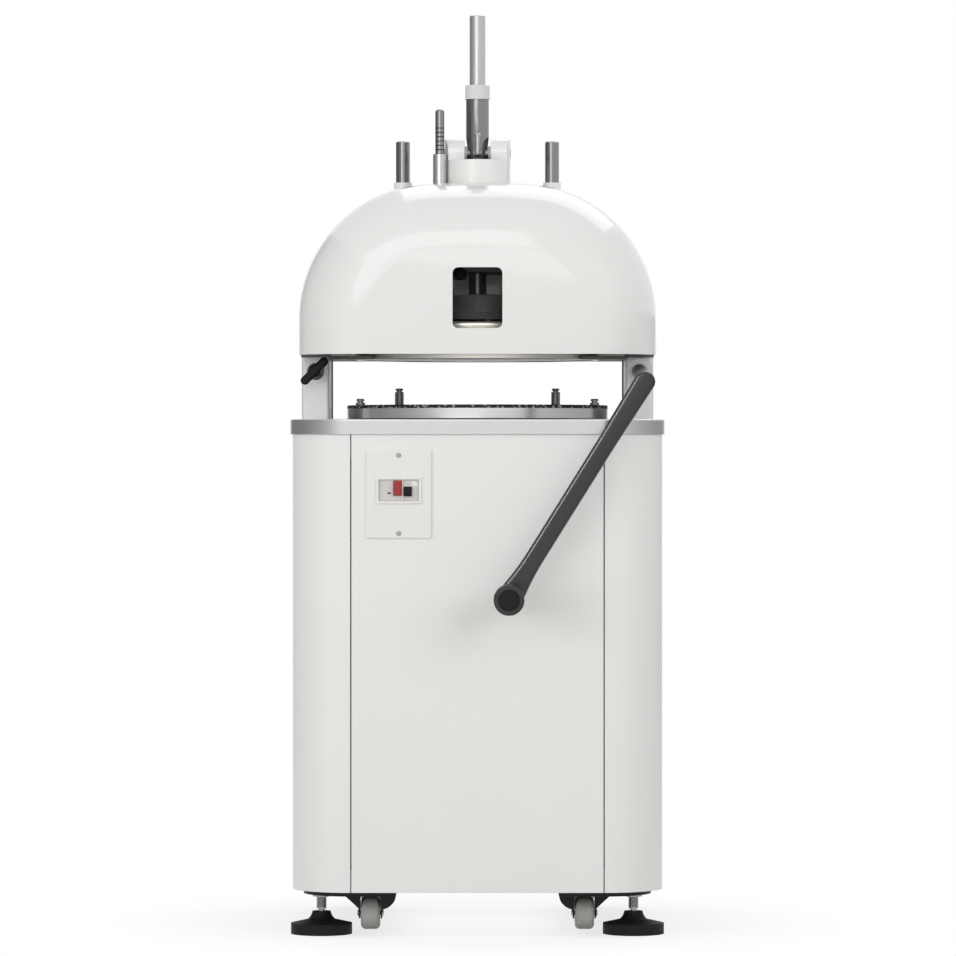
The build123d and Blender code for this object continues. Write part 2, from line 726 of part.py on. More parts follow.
def flanged_pulley(x, radius):
    """The blank of a flat-belt pulley with a lip at both ends, standing on the crank line."""
    with BuildPart() as pulley:
        with BuildSketch(level(PULLEY_Z, x, crank_y)):
            Circle(radius)
        extrude(amount=PULLEY_WIDTH)
        for lip_z in (PULLEY_Z, PULLEY_Z + PULLEY_WIDTH - PULLEY_LIP_WIDTH):
            with BuildSketch(level(lip_z, x, crank_y)):
                Circle(radius + PULLEY_LIP)
            extrude(amount=PULLEY_LIP_WIDTH)
    return pulley


driving_blank = flanged_pulley(motor_x, DRIVING_R)
driven_blank = flanged_pulley(0, DRIVEN_R)

with BuildPart() as motor_rotor:
    add(driving_blank.part)
    with BuildSketch(level(SHELF_Z - 3 * MOTOR_FLANGE, motor_x, crank_y)):
        Circle(MOTOR_SHAFT_R)
    extrude(amount=PULLEY_Z + PULLEY_WIDTH + MOTOR_FLANGE - SHELF_Z + 3 * MOTOR_FLANGE)
keep(motor_rotor, "motor_rotor")

with BuildPart() as driven_pulley:
    add(driven_blank.part)
    with BuildSketch(level(PULLEY_Z, 0, crank_y)):
        Circle(SHAFT_R)
        with PolarLocations((SHAFT_R + DRIVEN_R) / 2, 6):
            Circle((DRIVEN_R - SHAFT_R) / 4)
    extrude(amount=PULLEY_WIDTH, mode=Mode.SUBTRACT)
keep(driven_pulley, "driven_pulley")

with BuildPart() as drive_belt:
    with BuildSketch(level(PULLEY_Z + PULLEY_LIP_WIDTH + BELT_GAP, 0, crank_y)) as belt_plan:
        with BuildSketch() as belt_outside:
            Circle(DRIVEN_R + BELT_GAP + BELT_THICK)
            with Locations((motor_x, 0)):
                Circle(DRIVING_R + BELT_GAP + BELT_THICK)
            make_hull()
        with BuildSketch(mode=Mode.SUBTRACT) as belt_inside:
            Circle(DRIVEN_R + BELT_GAP)
            with Locations((motor_x, 0)):
                Circle(DRIVING_R + BELT_GAP)
            make_hull()
    extrude(amount=PULLEY_WIDTH - 2 * PULLEY_LIP_WIDTH - 2 * BELT_GAP)
keep(drive_belt, "drive_belt")

with BuildPart() as drive_plate:
    with BuildSketch(level(DRIVE_PLATE_Z, 0, crank_y)):
        Rectangle(2 * post_x + POST_SIZE, DRIVE_PLATE_DEPTH)
    extrude(amount=DRIVE_PLATE)
    with BuildSketch(level(DRIVE_PLATE_Z, 0, crank_y)):
        Circle(HOUSING_R)
    extrude(amount=-HOUSING_LENGTH)
    with BuildSketch(level(DRIVE_PLATE_Z, 0, crank_y + IDLER_Y)):
        with GridLocations(2 * IDLER_X, 0, 2, 1):
            Circle(IDLER_BOSS_R)
    extrude(amount=-IDLER_BOSS)
    with BuildSketch(level(DRIVE_PLATE_Z + DRIVE_PLATE, 0, crank_y)):
        Circle(SHAFT_R + RUNNING_FIT)
        with GridLocations(2 * IDLER_X, 0, 2, 1):
            with Locations((0, IDLER_Y)):
                Circle(IDLER_JOURNAL_R + RUNNING_FIT)
    extrude(amount=-(DRIVE_PLATE + HOUSING_LENGTH), mode=Mode.SUBTRACT)
keep(drive_plate, "drive_plate")

web_z = DRIVE_PLATE_Z + DRIVE_PLATE
pin_top = SPIDER_Z + SPIDER_THICK + 4.0
with BuildPart() as eccentric_shaft:
    with BuildSketch(level(SHAFT_FOOT, 0, crank_y)):
        Circle(SHAFT_R)
    extrude(amount=web_z - SHAFT_FOOT)
    with BuildSketch(level(web_z, 0, crank_y)):
        Circle(WEB_R)
    extrude(amount=WEB_THICK)
    with BuildSketch(level(web_z + WEB_THICK, 0, crank_y - CRANK_THROW)):
        Circle(CRANK_PIN_R)
    extrude(amount=pin_top - web_z - WEB_THICK)
keep(eccentric_shaft, "eccentric_shaft")


def idler_crank(x):
    """One idler crank with the same throw as the eccentric shaft."""
    with BuildPart() as crank:
        with BuildSketch(level(DRIVE_PLATE_Z - IDLER_BOSS, x, crank_y + IDLER_Y)):
            Circle(IDLER_JOURNAL_R)
        extrude(amount=IDLER_BOSS + DRIVE_PLATE)
        with BuildSketch(level(web_z, x, crank_y + IDLER_Y)):
            Circle(IDLER_WEB_R)
        extrude(amount=IDLER_WEB)
        with BuildSketch(level(web_z + IDLER_WEB, x, crank_y + IDLER_Y - CRANK_THROW)):
            Circle(IDLER_PIN_R)
        extrude(amount=SPIDER_Z + SPIDER_THICK - web_z - IDLER_WEB)
    return crank


left_idler_crank = idler_crank(-IDLER_X)
keep(left_idler_crank, "left_idler_crank")
right_idler_crank = idler_crank(IDLER_X)
keep(right_idler_crank, "right_idler_crank")

with BuildPart() as disc_spider:
    for hand in (-1, 1):
        with BuildSketch(level(SPIDER_Z)):
            Circle(SPIDER_HUB_R)
            with Locations((hand * IDLER_X, IDLER_Y)):
                Circle(SPIDER_EYE_R)
            make_hull()
        extrude(amount=SPIDER_THICK)
    with BuildSketch(level(web_z + WEB_THICK)):
        Circle(CRANK_PIN_R + IDLER_PIN_R)
    extrude(amount=SPIDER_Z - web_z - WEB_THICK)
    with BuildSketch(level(SPIDER_Z + SPIDER_THICK)):
        Circle(POST_R)
    extrude(amount=DISC_Z - SPIDER_Z - SPIDER_THICK)
    with BuildSketch(level(web_z + WEB_THICK)):
        Circle(CRANK_PIN_R + RUNNING_FIT)
    extrude(amount=pin_top + 1.0 - web_z - WEB_THICK, mode=Mode.SUBTRACT)
    with BuildSketch(level(SPIDER_Z, 0, IDLER_Y)):
        with GridLocations(2 * IDLER_X, 0, 2, 1):
            Circle(IDLER_PIN_R + RUNNING_FIT)
    extrude(amount=SPIDER_THICK, mode=Mode.SUBTRACT)
keep(disc_spider, "disc_spider")

with BuildPart() as rounding_disc:
    with BuildSketch(level(DISC_Z)):
        Circle(DISC_R)
    extrude(amount=DISC_THICK)
    chamfer(rounding_disc.edges().sort_by(Axis.Z)[0], 2.0)
keep(rounding_disc, "rounding_disc")

with BuildPart() as disc_pad:
    with BuildSketch(level(pad_top - PAD_THICK)):
        Circle(DISC_R)
    extrude(amount=PAD_THICK)
    fillet(disc_pad.edges().sort_by(Axis.Z)[-1], 2.0)
keep(disc_pad, "disc_pad")

# Locating pegs: a stem, a narrower neck and a round head; the rear pair is tall
with BuildPart() as plate_pegs:
    for peg_x, peg_y, peg_height in (
        (-TALL_PEG_X, TALL_PEG_Y, TALL_PEG),
        (TALL_PEG_X, TALL_PEG_Y, TALL_PEG),
        (-SHORT_PEG_X, SHORT_PEG_Y, SHORT_PEG),
        (SHORT_PEG_X, SHORT_PEG_Y, SHORT_PEG),
    ):
        neck_z = pad_top + peg_height - PEG_HEAD - PEG_NECK
        with BuildSketch(level(pad_top, peg_x, peg_y)):
            Circle(PEG_R)
        extrude(amount=neck_z - pad_top)
        with BuildSketch(level(neck_z, peg_x, peg_y)):
            Circle(PEG_NECK_R)
        extrude(amount=PEG_NECK)
        with BuildSketch(level(neck_z + PEG_NECK, peg_x, peg_y)):
            Circle(PEG_HEAD_R)
        extrude(amount=PEG_HEAD)
    crowns = plate_pegs.edges().filter_by(GeomType.CIRCLE).filter_by(
        lambda edge: abs(edge.radius - PEG_HEAD_R) < 0.01
    )
    fillet(crowns.group_by(Axis.Z)[-1] + crowns.group_by(Axis.Z)[1], 0.6 * PEG_HEAD)
keep(plate_pegs, "plate_pegs")


# Columns: hollow boxes, bored front and rear for the bushes
def column(hand, sleeve_r):
    """One column with bores for a pair of bushes; hand is -1 for left and 1 for right."""
    with BuildPart() as box:
        with BuildSketch(level(TABLE_Z, hand * COLUMN_X, COLUMN_FRONT + COLUMN_DEPTH / 2)):
            RectangleRounded(COLUMN_WIDTH, COLUMN_DEPTH, COLUMN_WALL)
            Rectangle(
                COLUMN_WIDTH - 2 * COLUMN_WALL,
                COLUMN_DEPTH - 2 * COLUMN_WALL,
                mode=Mode.SUBTRACT,
            )
        extrude(amount=COLUMN_HEIGHT)
        with BuildSketch(facing(COLUMN_FRONT, hand * COLUMN_X, BOSS_Z)):
            Circle(sleeve_r)
        extrude(amount=-COLUMN_DEPTH, mode=Mode.SUBTRACT)
    return box


left_column = column(-1, LOCK_SHAFT_R + SLEEVE_WALL)
keep(left_column, "left_column")
right_column = column(1, LEVER_SHAFT_R + SLEEVE_WALL)
keep(right_column, "right_column")

with BuildPart() as column_bushes:
    for bush_x, bore_r, flange_r in (
        (-COLUMN_X, LOCK_SHAFT_R, LOCK_FLANGE_R),
        (COLUMN_X, LEVER_SHAFT_R, LEVER_FLANGE_R),
    ):
        with BuildSketch(facing(COLUMN_FRONT, bush_x, BOSS_Z)):
            Circle(flange_r)
            Circle(bore_r + RUNNING_FIT, mode=Mode.SUBTRACT)
        extrude(amount=FLANGE_THICK)
        for wall_y in (COLUMN_FRONT, column_rear - COLUMN_WALL):
            with BuildSketch(facing(wall_y, bush_x, BOSS_Z)):
                Circle(bore_r + SLEEVE_WALL)
                Circle(bore_r + RUNNING_FIT, mode=Mode.SUBTRACT)
            extrude(amount=-COLUMN_WALL)
keep(column_bushes, "column_bushes")

with BuildPart() as lock_handle:
    bar_y = COLUMN_FRONT - LOCK_REACH + LOCK_BAR_R
    with BuildSketch(facing(bar_y, -COLUMN_X, BOSS_Z)):
        Circle(LOCK_SHAFT_R)
    extrude(amount=-(column_rear - bar_y))
    with BuildSketch(facing(bar_y, -COLUMN_X, BOSS_Z)):
        Circle(LOCK_SHAFT_R + 3.0)
    extrude(amount=-(LOCK_REACH - LOCK_BAR_R - FLANGE_THICK - 1.0), taper=-4.0)
    with BuildSketch(facing(bar_y - LOCK_BAR_R, -COLUMN_X, BOSS_Z)):
        SlotOverall(LOCK_BAR, 2 * LOCK_BAR_R, rotation=45)
    extrude(amount=-2 * LOCK_BAR_R)
    fillet(lock_handle.faces().sort_by(Axis.Y)[0].edges(), 0.6 * LOCK_BAR_R)
keep(lock_handle, "lock_handle")

with BuildPart() as rounding_lever_shaft:
    with BuildLine(across(COLUMN_X)) as neck:
        FilletPolyline(
            (column_rear, BOSS_Z),
            (COLUMN_FRONT - NECK_START, BOSS_Z),
            (arm_back + NECK_START, arm_z),
            (arm_back, arm_z),
            radius=NECK_BEND,
        )
    with BuildSketch(facing(column_rear, COLUMN_X, BOSS_Z)):
        Circle(LEVER_SHAFT_R)
    sweep(path=neck.wires()[0])
keep(rounding_lever_shaft, "rounding_lever_shaft")

hub_x = -ARM_LENGTH * sin(radians(ARM_LEAN))
hub_z = -ARM_LENGTH * cos(radians(ARM_LEAN))
with BuildPart() as rounding_lever_arm:
    with BuildSketch(facing(arm_back, COLUMN_X, arm_z)) as arm_plan:
        Circle(ARM_TOP_R)
        with Locations((hub_x, hub_z)):
            Circle(ARM_FOOT_R)
        make_hull()
        with Locations((hub_x, hub_z)):
            Circle(GRIP_R)
        throat = arm_plan.vertices().sort_by_distance(
            (COLUMN_X + hub_x, AXIS_Y + arm_back, arm_z + hub_z)
        )
        fillet(throat[:2], GRIP_R)
    extrude(amount=ARM_THICK)
    fillet(rounding_lever_arm.faces().sort_by(Axis.Y)[0].edges(), ARM_ROUND)
    fillet(rounding_lever_arm.faces().sort_by(Axis.Y)[-1].edges(), ARM_ROUND / 2)
keep(rounding_lever_arm, "rounding_lever_arm")

with BuildPart() as lever_grip:
    with BuildSketch(facing(arm_back - ARM_THICK, COLUMN_X + hub_x, arm_z + hub_z)):
        Circle(GRIP_R - ARM_ROUND)
    extrude(amount=ARM_ROUND)
    with BuildSketch(facing(arm_back - ARM_THICK - ARM_ROUND / 2, COLUMN_X + hub_x, arm_z + hub_z)):
        Circle(GRIP_R)
    extrude(amount=GRIP_LENGTH - ARM_ROUND / 2)
    fillet(lever_grip.faces().sort_by(Axis.Y)[0].edges(), GRIP_ROUND)
    with BuildSketch(
        facing(arm_back - ARM_THICK - GRIP_LENGTH, COLUMN_X + hub_x, arm_z + hub_z)
    ):
        Circle(GRIP_CAP_R)
    extrude(amount=-GRIP_CAP_DEPTH, mode=Mode.SUBTRACT)
keep(lever_grip, "lever_grip")


# Hood: an arch of two shoulders and a flat crown, rounded towards the operator
def arch(inset, foot):
    """The hood's arch from a foot height up, set in by a wall thickness."""
    half = HOOD_WIDTH / 2 - inset
    with BuildPart() as form:
        with BuildSketch(facing(-HOOD_DEPTH / 2 + inset)):
            with BuildLine():
                wall = Line((half, foot), (half, spring_z))
                bend = JernArc(wall @ 1, (0, 1), SHOULDER_R - inset, shoulder_turn)
                top = ThreePointArc(bend @ 1, (0, CROWN_Z - inset), (-(bend @ 1).X, (bend @ 1).Y))
                far = JernArc(top @ 1, top % 1, SHOULDER_R - inset, shoulder_turn)
                Polyline(far @ 1, (-half, foot), (half, foot))
            make_face()
        extrude(amount=-(HOOD_DEPTH - 2 * inset))
        front_rim = form.faces().sort_by(Axis.Y)[0].edges()
        fillet(front_rim.sort_by(Axis.Z)[1:], HOOD_FRONT_ROUND - inset)
        rear_rim = form.faces().sort_by(Axis.Y)[-1].edges()
        fillet(rear_rim.sort_by(Axis.Z)[1:], HOOD_REAR_ROUND - inset)
    return form


arch_outside = arch(0.0, HOOD_BOTTOM)
arch_inside = arch(HOOD_WALL, HOOD_BOTTOM - HOOD_WALL)

with BuildPart() as hood:
    add(arch_outside.part)
    add(arch_inside.part, mode=Mode.SUBTRACT)
    with BuildSketch(facing(-HOOD_DEPTH / 2, 0, WINDOW_Z)):
        RectangleRounded(WINDOW_WIDTH, WINDOW_HEIGHT, WINDOW_CORNER)
    extrude(amount=-2 * HOOD_WALL, mode=Mode.SUBTRACT)
    with BuildSketch(level(beam_top)):
        with Locations((0, pivot_y)):
            Circle(TURRET_R + HOOD_HOLE_GAP)
        Circle(RACK_R + RACK_TUBE_GAP + RACK_TUBE_WALL + HOOD_HOLE_GAP)
        with GridLocations(2 * GUIDE_X, 0, 2, 1):
            Circle(SLEEVE_R + HOOD_HOLE_GAP)
        with Locations((SCALE_X, SCALE_Y)):
            Circle(SCALE_TUBE_R + HOOD_HOLE_GAP)
    extrude(amount=CROWN_Z - beam_top, mode=Mode.SUBTRACT)
keep(hood, "hood")

# Head frame: a portal on the columns with bores for the guides, the rack and the springs
leg_outer_x = HOOD_WIDTH / 2 - HOOD_WALL
beam_end_x = (
    shoulder_x
    + sqrt((SHOULDER_R - HOOD_WALL) ** 2 - (beam_top - spring_z) ** 2)
    - BEAM_HOOD_GAP
)
with BuildPart() as head_frame:
    with BuildSketch(facing(COLUMN_FRONT)):
        with BuildLine():
            Polyline(
                (-leg_outer_x, column_top),
                (-leg_outer_x, spring_z),
                (-beam_end_x, beam_top),
                (beam_end_x, beam_top),
                (leg_outer_x, spring_z),
                (leg_outer_x, column_top),
                close=True,
            )
        make_face()
        with Locations((0, column_top)):
            RectangleRounded(
                2 * LEG_INNER_X, 2 * (BEAM_Z - column_top), PORTAL_ROUND, mode=Mode.SUBTRACT
            )
    extrude(amount=-COLUMN_DEPTH)
    with BuildSketch(level(beam_top)):
        with Locations((0, pivot_y)):
            Circle(TURRET_R + TURRET_WALL)
        with Locations((SCALE_X, SCALE_Y)):
            Circle(2 * SCALE_TUBE_R)
    extrude(amount=-TURRET_PAD)
    with BuildSketch(level(beam_top)):
        Circle(RACK_R + RUNNING_FIT)
        with GridLocations(2 * GUIDE_X, 0, 2, 1):
            Circle(SLEEVE_R)
        with GridLocations(2 * SPRING_X, 0, 2, 1):
            with Locations((0, SPRING_Y)):
                Circle(SPRING_R)
        with Locations((SCALE_X, SCALE_Y)):
            Circle(SCALE_TUBE_R)
    extrude(amount=-BEAM_HEIGHT, mode=Mode.SUBTRACT)
keep(head_frame, "head_frame")

with BuildPart() as head_floor_plates:
    inner_face = COLUMN_X - COLUMN_WIDTH / 2
    with BuildSketch(level(FLOOR_PLATE_Z)):
        Rectangle(2 * inner_face, FLOOR_PLATE_DEPTH)
        Circle(RING_R + FLOOR_PLATE_GAP, mode=Mode.SUBTRACT)
    extrude(amount=FLOOR_PLATE)
keep(head_floor_plates, "head_floor_plates")

with BuildPart() as guide_sleeves:
    with BuildSketch(level(BEAM_Z)):
        with GridLocations(2 * GUIDE_X, 0, 2, 1):
            Circle(SLEEVE_R)
            Circle(GUIDE_R + RUNNING_FIT, mode=Mode.SUBTRACT)
    extrude(amount=SLEEVE_TOP - BEAM_Z)
keep(guide_sleeves, "guide_sleeves")

with BuildPart() as gas_spring_cylinders:
    with BuildSketch(level(SPRING_FOOT, 0, SPRING_Y)):
        with GridLocations(2 * SPRING_X, 0, 2, 1):
            Circle(SPRING_R)
    extrude(amount=SPRING_TOP - SPRING_FOOT)
    with BuildSketch(level(beam_top, 0, SPRING_Y)):
        with GridLocations(2 * SPRING_X, 0, 2, 1):
            Circle(SPRING_COLLAR_R)
    extrude(amount=SPRING_COLLAR)
    with BuildSketch(level(SPRING_FOOT, 0, SPRING_Y)):
        with GridLocations(2 * SPRING_X, 0, 2, 1):
            Circle(SPRING_ROD_R + SPRING_FIT)
    extrude(amount=SPRING_TOP - SPRING_FOOT - HOOD_WALL, mode=Mode.SUBTRACT)
keep(gas_spring_cylinders, "gas_spring_cylinders")

with BuildPart() as scale_tube:
    with BuildSketch(level(beam_top - TURRET_PAD, SCALE_X, SCALE_Y)):
        Circle(SCALE_TUBE_R)
        Circle(SCALE_ROD_R + SCALE_FIT, mode=Mode.SUBTRACT)
    extrude(amount=SCALE_TUBE_TOP - beam_top + TURRET_PAD)
keep(scale_tube, "scale_tube")


# Press: dough ring, knife basket and the press plate that is cut to pass between the knives
def knife_plan(width):
    """The plan of the dividing knives at a given width: two circles and the spokes of each ring."""
    with BuildSketch() as plan:
        for radius in reversed(divide_r[1:-1]):
            Circle(radius + width / 2)
            Circle(radius - width / 2, mode=Mode.SUBTRACT)
        for ring, count in enumerate(DIVISIONS):
            inner = divide_r[ring]
            outer = divide_r[ring + 1]
            with PolarLocations((inner + outer) / 2, count):
                Rectangle(outer - inner, width)
        Circle(width)
    return plan.sketch


def stem_holes(radius):
    """Draw one round per dough piece in the open sketch, in the middle of each division."""
    for ring, count in enumerate(DIVISIONS):
        inner = max(divide_r[ring], KNIFE_BOSS_R - SEGMENT_STEM_R)
        with PolarLocations((inner + divide_r[ring + 1]) / 2, count, 180 / count):
            Circle(radius)


knives = knife_plan(KNIFE_THICK)
knife_slots = knife_plan(KNIFE_THICK + 2 * SEGMENT_GAP)
knife_foot = RING_Z + KNIFE_RAISE

with BuildPart() as dough_ring:
    with BuildSketch(level(RING_Z)):
        Circle(RING_R)
        Circle(RING_R - RING_WALL, mode=Mode.SUBTRACT)
    extrude(amount=RING_HEIGHT)
    fillet(dough_ring.edges().sort_by(Axis.Z)[:2].sort_by(SortBy.RADIUS)[-1], RING_WALL / 2)
keep(dough_ring, "dough_ring")

with BuildPart() as knife_basket:
    with BuildSketch(level(knife_foot)):
        add(knives)
        Circle(knife_r, mode=Mode.INTERSECT)
    extrude(amount=plate_z - knife_foot)
    with BuildSketch(level(plate_z)):
        Circle(RING_R)
    extrude(amount=KNIFE_PLATE)
    with BuildSketch(level(knife_top)):
        Circle(KNIFE_BOSS_R)
    extrude(amount=KNIFE_BOSS)
    with BuildSketch(level(plate_z)):
        stem_holes(SEGMENT_STEM_R + STEM_GAP)
    extrude(amount=KNIFE_PLATE, mode=Mode.SUBTRACT)
    with BuildSketch(level(plate_z)):
        Circle(RACK_R)
    extrude(amount=KNIFE_PLATE + KNIFE_BOSS, mode=Mode.SUBTRACT)
keep(knife_basket, "knife_basket")

with BuildPart() as press_segments:
    with BuildSketch(level(knife_foot)):
        Circle(knife_r - SEGMENT_GAP)
        add(knife_slots, mode=Mode.SUBTRACT)
    extrude(amount=SEGMENT_THICK)
    with BuildSketch(level(knife_foot + SEGMENT_THICK)):
        stem_holes(SEGMENT_STEM_R)
    extrude(amount=boss_top - knife_foot - SEGMENT_THICK)
keep(press_segments, "press_segments")

with BuildPart() as press_carrier:
    with BuildSketch(level(boss_top)):
        Circle(CARRIER_R)
    extrude(amount=CARRIER_THICK)
    with BuildSketch(level(carrier_top)):
        Circle(CARRIER_HUB_R)
    extrude(amount=CARRIER_HUB)
    fillet(press_carrier.edges().sort_by(Axis.Z)[-1], 3.0)
    with BuildSketch(level(boss_top)):
        Circle(RACK_R + RUNNING_FIT)
        with GridLocations(2 * GUIDE_X, 0, 2, 1):
            Circle(GUIDE_R + STEM_GAP)
        with GridLocations(2 * SPRING_X, 0, 2, 1):
            with Locations((0, SPRING_Y)):
                Circle(SPRING_ROD_R + STEM_GAP)
    extrude(amount=CARRIER_THICK + CARRIER_HUB, mode=Mode.SUBTRACT)
keep(press_carrier, "press_carrier")

with BuildPart() as guide_rods:
    with BuildSketch(level(knife_top)):
        with GridLocations(2 * GUIDE_X, 0, 2, 1):
            Circle(GUIDE_R)
    extrude(amount=GUIDE_TOP - knife_top)
    chamfer(guide_rods.edges().group_by(Axis.Z)[-1], 1.5)
keep(guide_rods, "guide_rods")

with BuildPart() as gas_spring_rods:
    with BuildSketch(level(knife_top, 0, SPRING_Y)):
        with GridLocations(2 * SPRING_X, 0, 2, 1):
            Circle(SPRING_ROD_R)
    extrude(amount=SPRING_TOP - PRESS_TRAVEL / 2 - knife_top)
keep(gas_spring_rods, "gas_spring_rods")

# Scale rod: a domed rod with graduations cut across its front
with BuildPart() as scale_rod:
    with BuildSketch(level(carrier_top, SCALE_X, SCALE_Y)):
        Circle(SCALE_ROD_R)
    extrude(amount=SCALE_TOP - carrier_top)
    fillet(scale_rod.edges().sort_by(Axis.Z)[-1], 0.8 * SCALE_ROD_R)
    for mark in range(SCALE_MARKS):
        with BuildSketch(level(SCALE_MARK_TOP - mark * SCALE_PITCH, SCALE_X, SCALE_Y - SCALE_ROD_R)):
            Rectangle(2 * SCALE_ROD_R, 1.2)
        extrude(amount=1.4, mode=Mode.SUBTRACT)
keep(scale_rod, "scale_rod")


# Lever drive: the sector turns the idler and the idler pushes the rack down
def flank_angle(teeth, radius):
    """Half the angle that an involute tooth fills at a radius, thinned by the backlash."""
    pitch_r = MODULE * teeth / 2
    lean = acos(min(1.0, pitch_r * cos(PRESSURE) / radius))
    half = pi / (2 * teeth) - BACKLASH / (4 * pitch_r)
    return half + tan(PRESSURE) - PRESSURE - tan(lean) + lean


def tooth_plan(teeth):
    """One involute tooth that points along x, from inside the root circle to the tip."""
    pitch_r = MODULE * teeth / 2
    foot_r = pitch_r - 1.75 * MODULE
    base_r = max(pitch_r * cos(PRESSURE), pitch_r - 1.25 * MODULE)
    tip_r = pitch_r + MODULE

    def flank(radius, hand):
        angle = hand * flank_angle(teeth, max(radius, base_r))
        return (radius * cos(angle), radius * sin(angle))

    with BuildSketch() as plan:
        with BuildLine():
            Line(flank(foot_r, -1), flank(base_r, -1))
            ThreePointArc(flank(base_r, -1), flank(pitch_r, -1), flank(tip_r, -1))
            Line(flank(tip_r, -1), flank(tip_r, 1))
            ThreePointArc(flank(tip_r, 1), flank(pitch_r, 1), flank(base_r, 1))
            Line(flank(base_r, 1), flank(foot_r, 1))
            Line(flank(foot_r, 1), flank(foot_r, -1))
        make_face()
    return plan.sketch


sector_tooth = tooth_plan(SECTOR_TEETH)
idler_tooth = tooth_plan(IDLER_TEETH)
sector_step = 360.0 / SECTOR_TEETH
mesh_way = mesh_angle - 180.0
sector_first = mesh_way - (SECTOR_CUT - 1.5) * sector_step
sector_root = sector_r - 1.25 * MODULE

with BuildPart() as sector_shaft:
    with BuildSketch(across(-SECTOR_WIDTH / 2, pivot_y, PIVOT_Z)):
        with BuildLine():
            rim_arc = CenterArc(
                (0, 0), sector_root, sector_first - sector_step / 2, SECTOR_CUT * sector_step
            )
            Line((0, 0), rim_arc @ 0)
            Line((0, 0), rim_arc @ 1)
        make_face()
        Circle(SECTOR_HUB_R)
        with PolarLocations(0, SECTOR_CUT, sector_first, SECTOR_CUT * sector_step):
            add(sector_tooth)
    extrude(amount=SECTOR_WIDTH)
    with BuildSketch(across(-TURRET_R, pivot_y, PIVOT_Z)):
        Circle(PIVOT_SHAFT_R)
    extrude(amount=2 * TURRET_R)
keep(sector_shaft, "sector_shaft")

with BuildPart() as idler_gear:
    with BuildSketch(across(-SECTOR_WIDTH / 2, idler_y, idler_z)):
        Circle(idler_r - 1.25 * MODULE)
        with PolarLocations(0, IDLER_TEETH):
            add(idler_tooth)
    extrude(amount=SECTOR_WIDTH)
    with BuildSketch(across(-GEAR_HUB / 2, idler_y, idler_z)):
        Circle(GEAR_HUB_R)
    extrude(amount=GEAR_HUB)
    journal = sqrt(TURRET_R ** 2 - (idler_y - pivot_y + GEAR_JOURNAL_R) ** 2) - 1.0
    with BuildSketch(across(-journal, idler_y, idler_z)):
        Circle(GEAR_JOURNAL_R)
    extrude(amount=2 * journal)
keep(idler_gear, "idler_gear")

with BuildPart() as rack_column:
    with BuildSketch(level(plate_z)):
        Circle(RACK_R)
    extrude(amount=rack_top - plate_z)
    chamfer(rack_column.edges().sort_by(Axis.Z)[-1], 1.0)
    flat_foot = idler_z - idler_r - MODULE
    with BuildSketch(across(-RACK_R, RACK_PLANE - MODULE, flat_foot)):
        with Locations((-RACK_R / 2, (rack_top - flat_foot) / 2)):
            Rectangle(RACK_R, rack_top - flat_foot)
    extrude(amount=2 * RACK_R, mode=Mode.SUBTRACT)
    with BuildSketch(across(-RACK_R, RACK_PLANE, idler_z)):
        half_gap = tooth_pitch / 4 + BACKLASH / 4
        for gap in range(-2, RACK_TEETH):
            middle = gap * tooth_pitch
            with BuildLine():
                Polyline(
                    (-1.5 * MODULE, middle - half_gap - 1.5 * MODULE * tan(PRESSURE)),
                    (-1.5 * MODULE, middle + half_gap + 1.5 * MODULE * tan(PRESSURE)),
                    (1.25 * MODULE, middle + half_gap - 1.25 * MODULE * tan(PRESSURE)),
                    (1.25 * MODULE, middle - half_gap + 1.25 * MODULE * tan(PRESSURE)),
                    close=True,
                )
            make_face()
    extrude(amount=2 * RACK_R, mode=Mode.SUBTRACT)
keep(rack_column, "rack_column")

# Turret: the casting that carries the lever, with a bore for the gears and one for the rack
with BuildPart() as turret_ears:
    with BuildSketch(across(-TURRET_R, pivot_y, PIVOT_Z)):
        Circle(EAR_R)
        with Locations((0, -EAR_R / 2)):
            Rectangle(2 * EAR_R, EAR_R)
    extrude(amount=2 * TURRET_R)
    with BuildSketch(level(PIVOT_Z - EAR_R, 0, pivot_y)):
        Circle(TURRET_R)
        Rectangle(TURRET_SLOT, 2 * TURRET_R, mode=Mode.SUBTRACT)
    extrude(amount=2 * EAR_R, mode=Mode.INTERSECT)

with BuildPart() as lever_block:
    with BuildSketch(level(beam_top)):
        with Locations((0, pivot_y)):
            Circle(TURRET_R)
    extrude(amount=TURRET_TOP - beam_top)
    with BuildSketch(level(beam_top)):
        Circle(RACK_R + RACK_TUBE_GAP + RACK_TUBE_WALL)
    extrude(amount=rack_tube_top - beam_top)
    with BuildSketch(level(beam_top, 0, pivot_y)):
        Circle(TURRET_R - TURRET_WALL)
    extrude(amount=rack_tube_top - beam_top, mode=Mode.SUBTRACT)
    with BuildSketch(level(beam_top)):
        Circle(RACK_R + RACK_TUBE_GAP)
    extrude(amount=rack_tube_top - RACK_CAP - beam_top, mode=Mode.SUBTRACT)
    add(turret_ears.part)
    with BuildSketch(across(-TURRET_R, pivot_y, PIVOT_Z)):
        Circle(PIVOT_SHAFT_R + RUNNING_FIT)
        with Locations((idler_y - pivot_y, idler_z - PIVOT_Z)):
            Circle(GEAR_JOURNAL_R + RUNNING_FIT)
    extrude(amount=2 * TURRET_R, mode=Mode.SUBTRACT)
keep(lever_block, "lever_block")

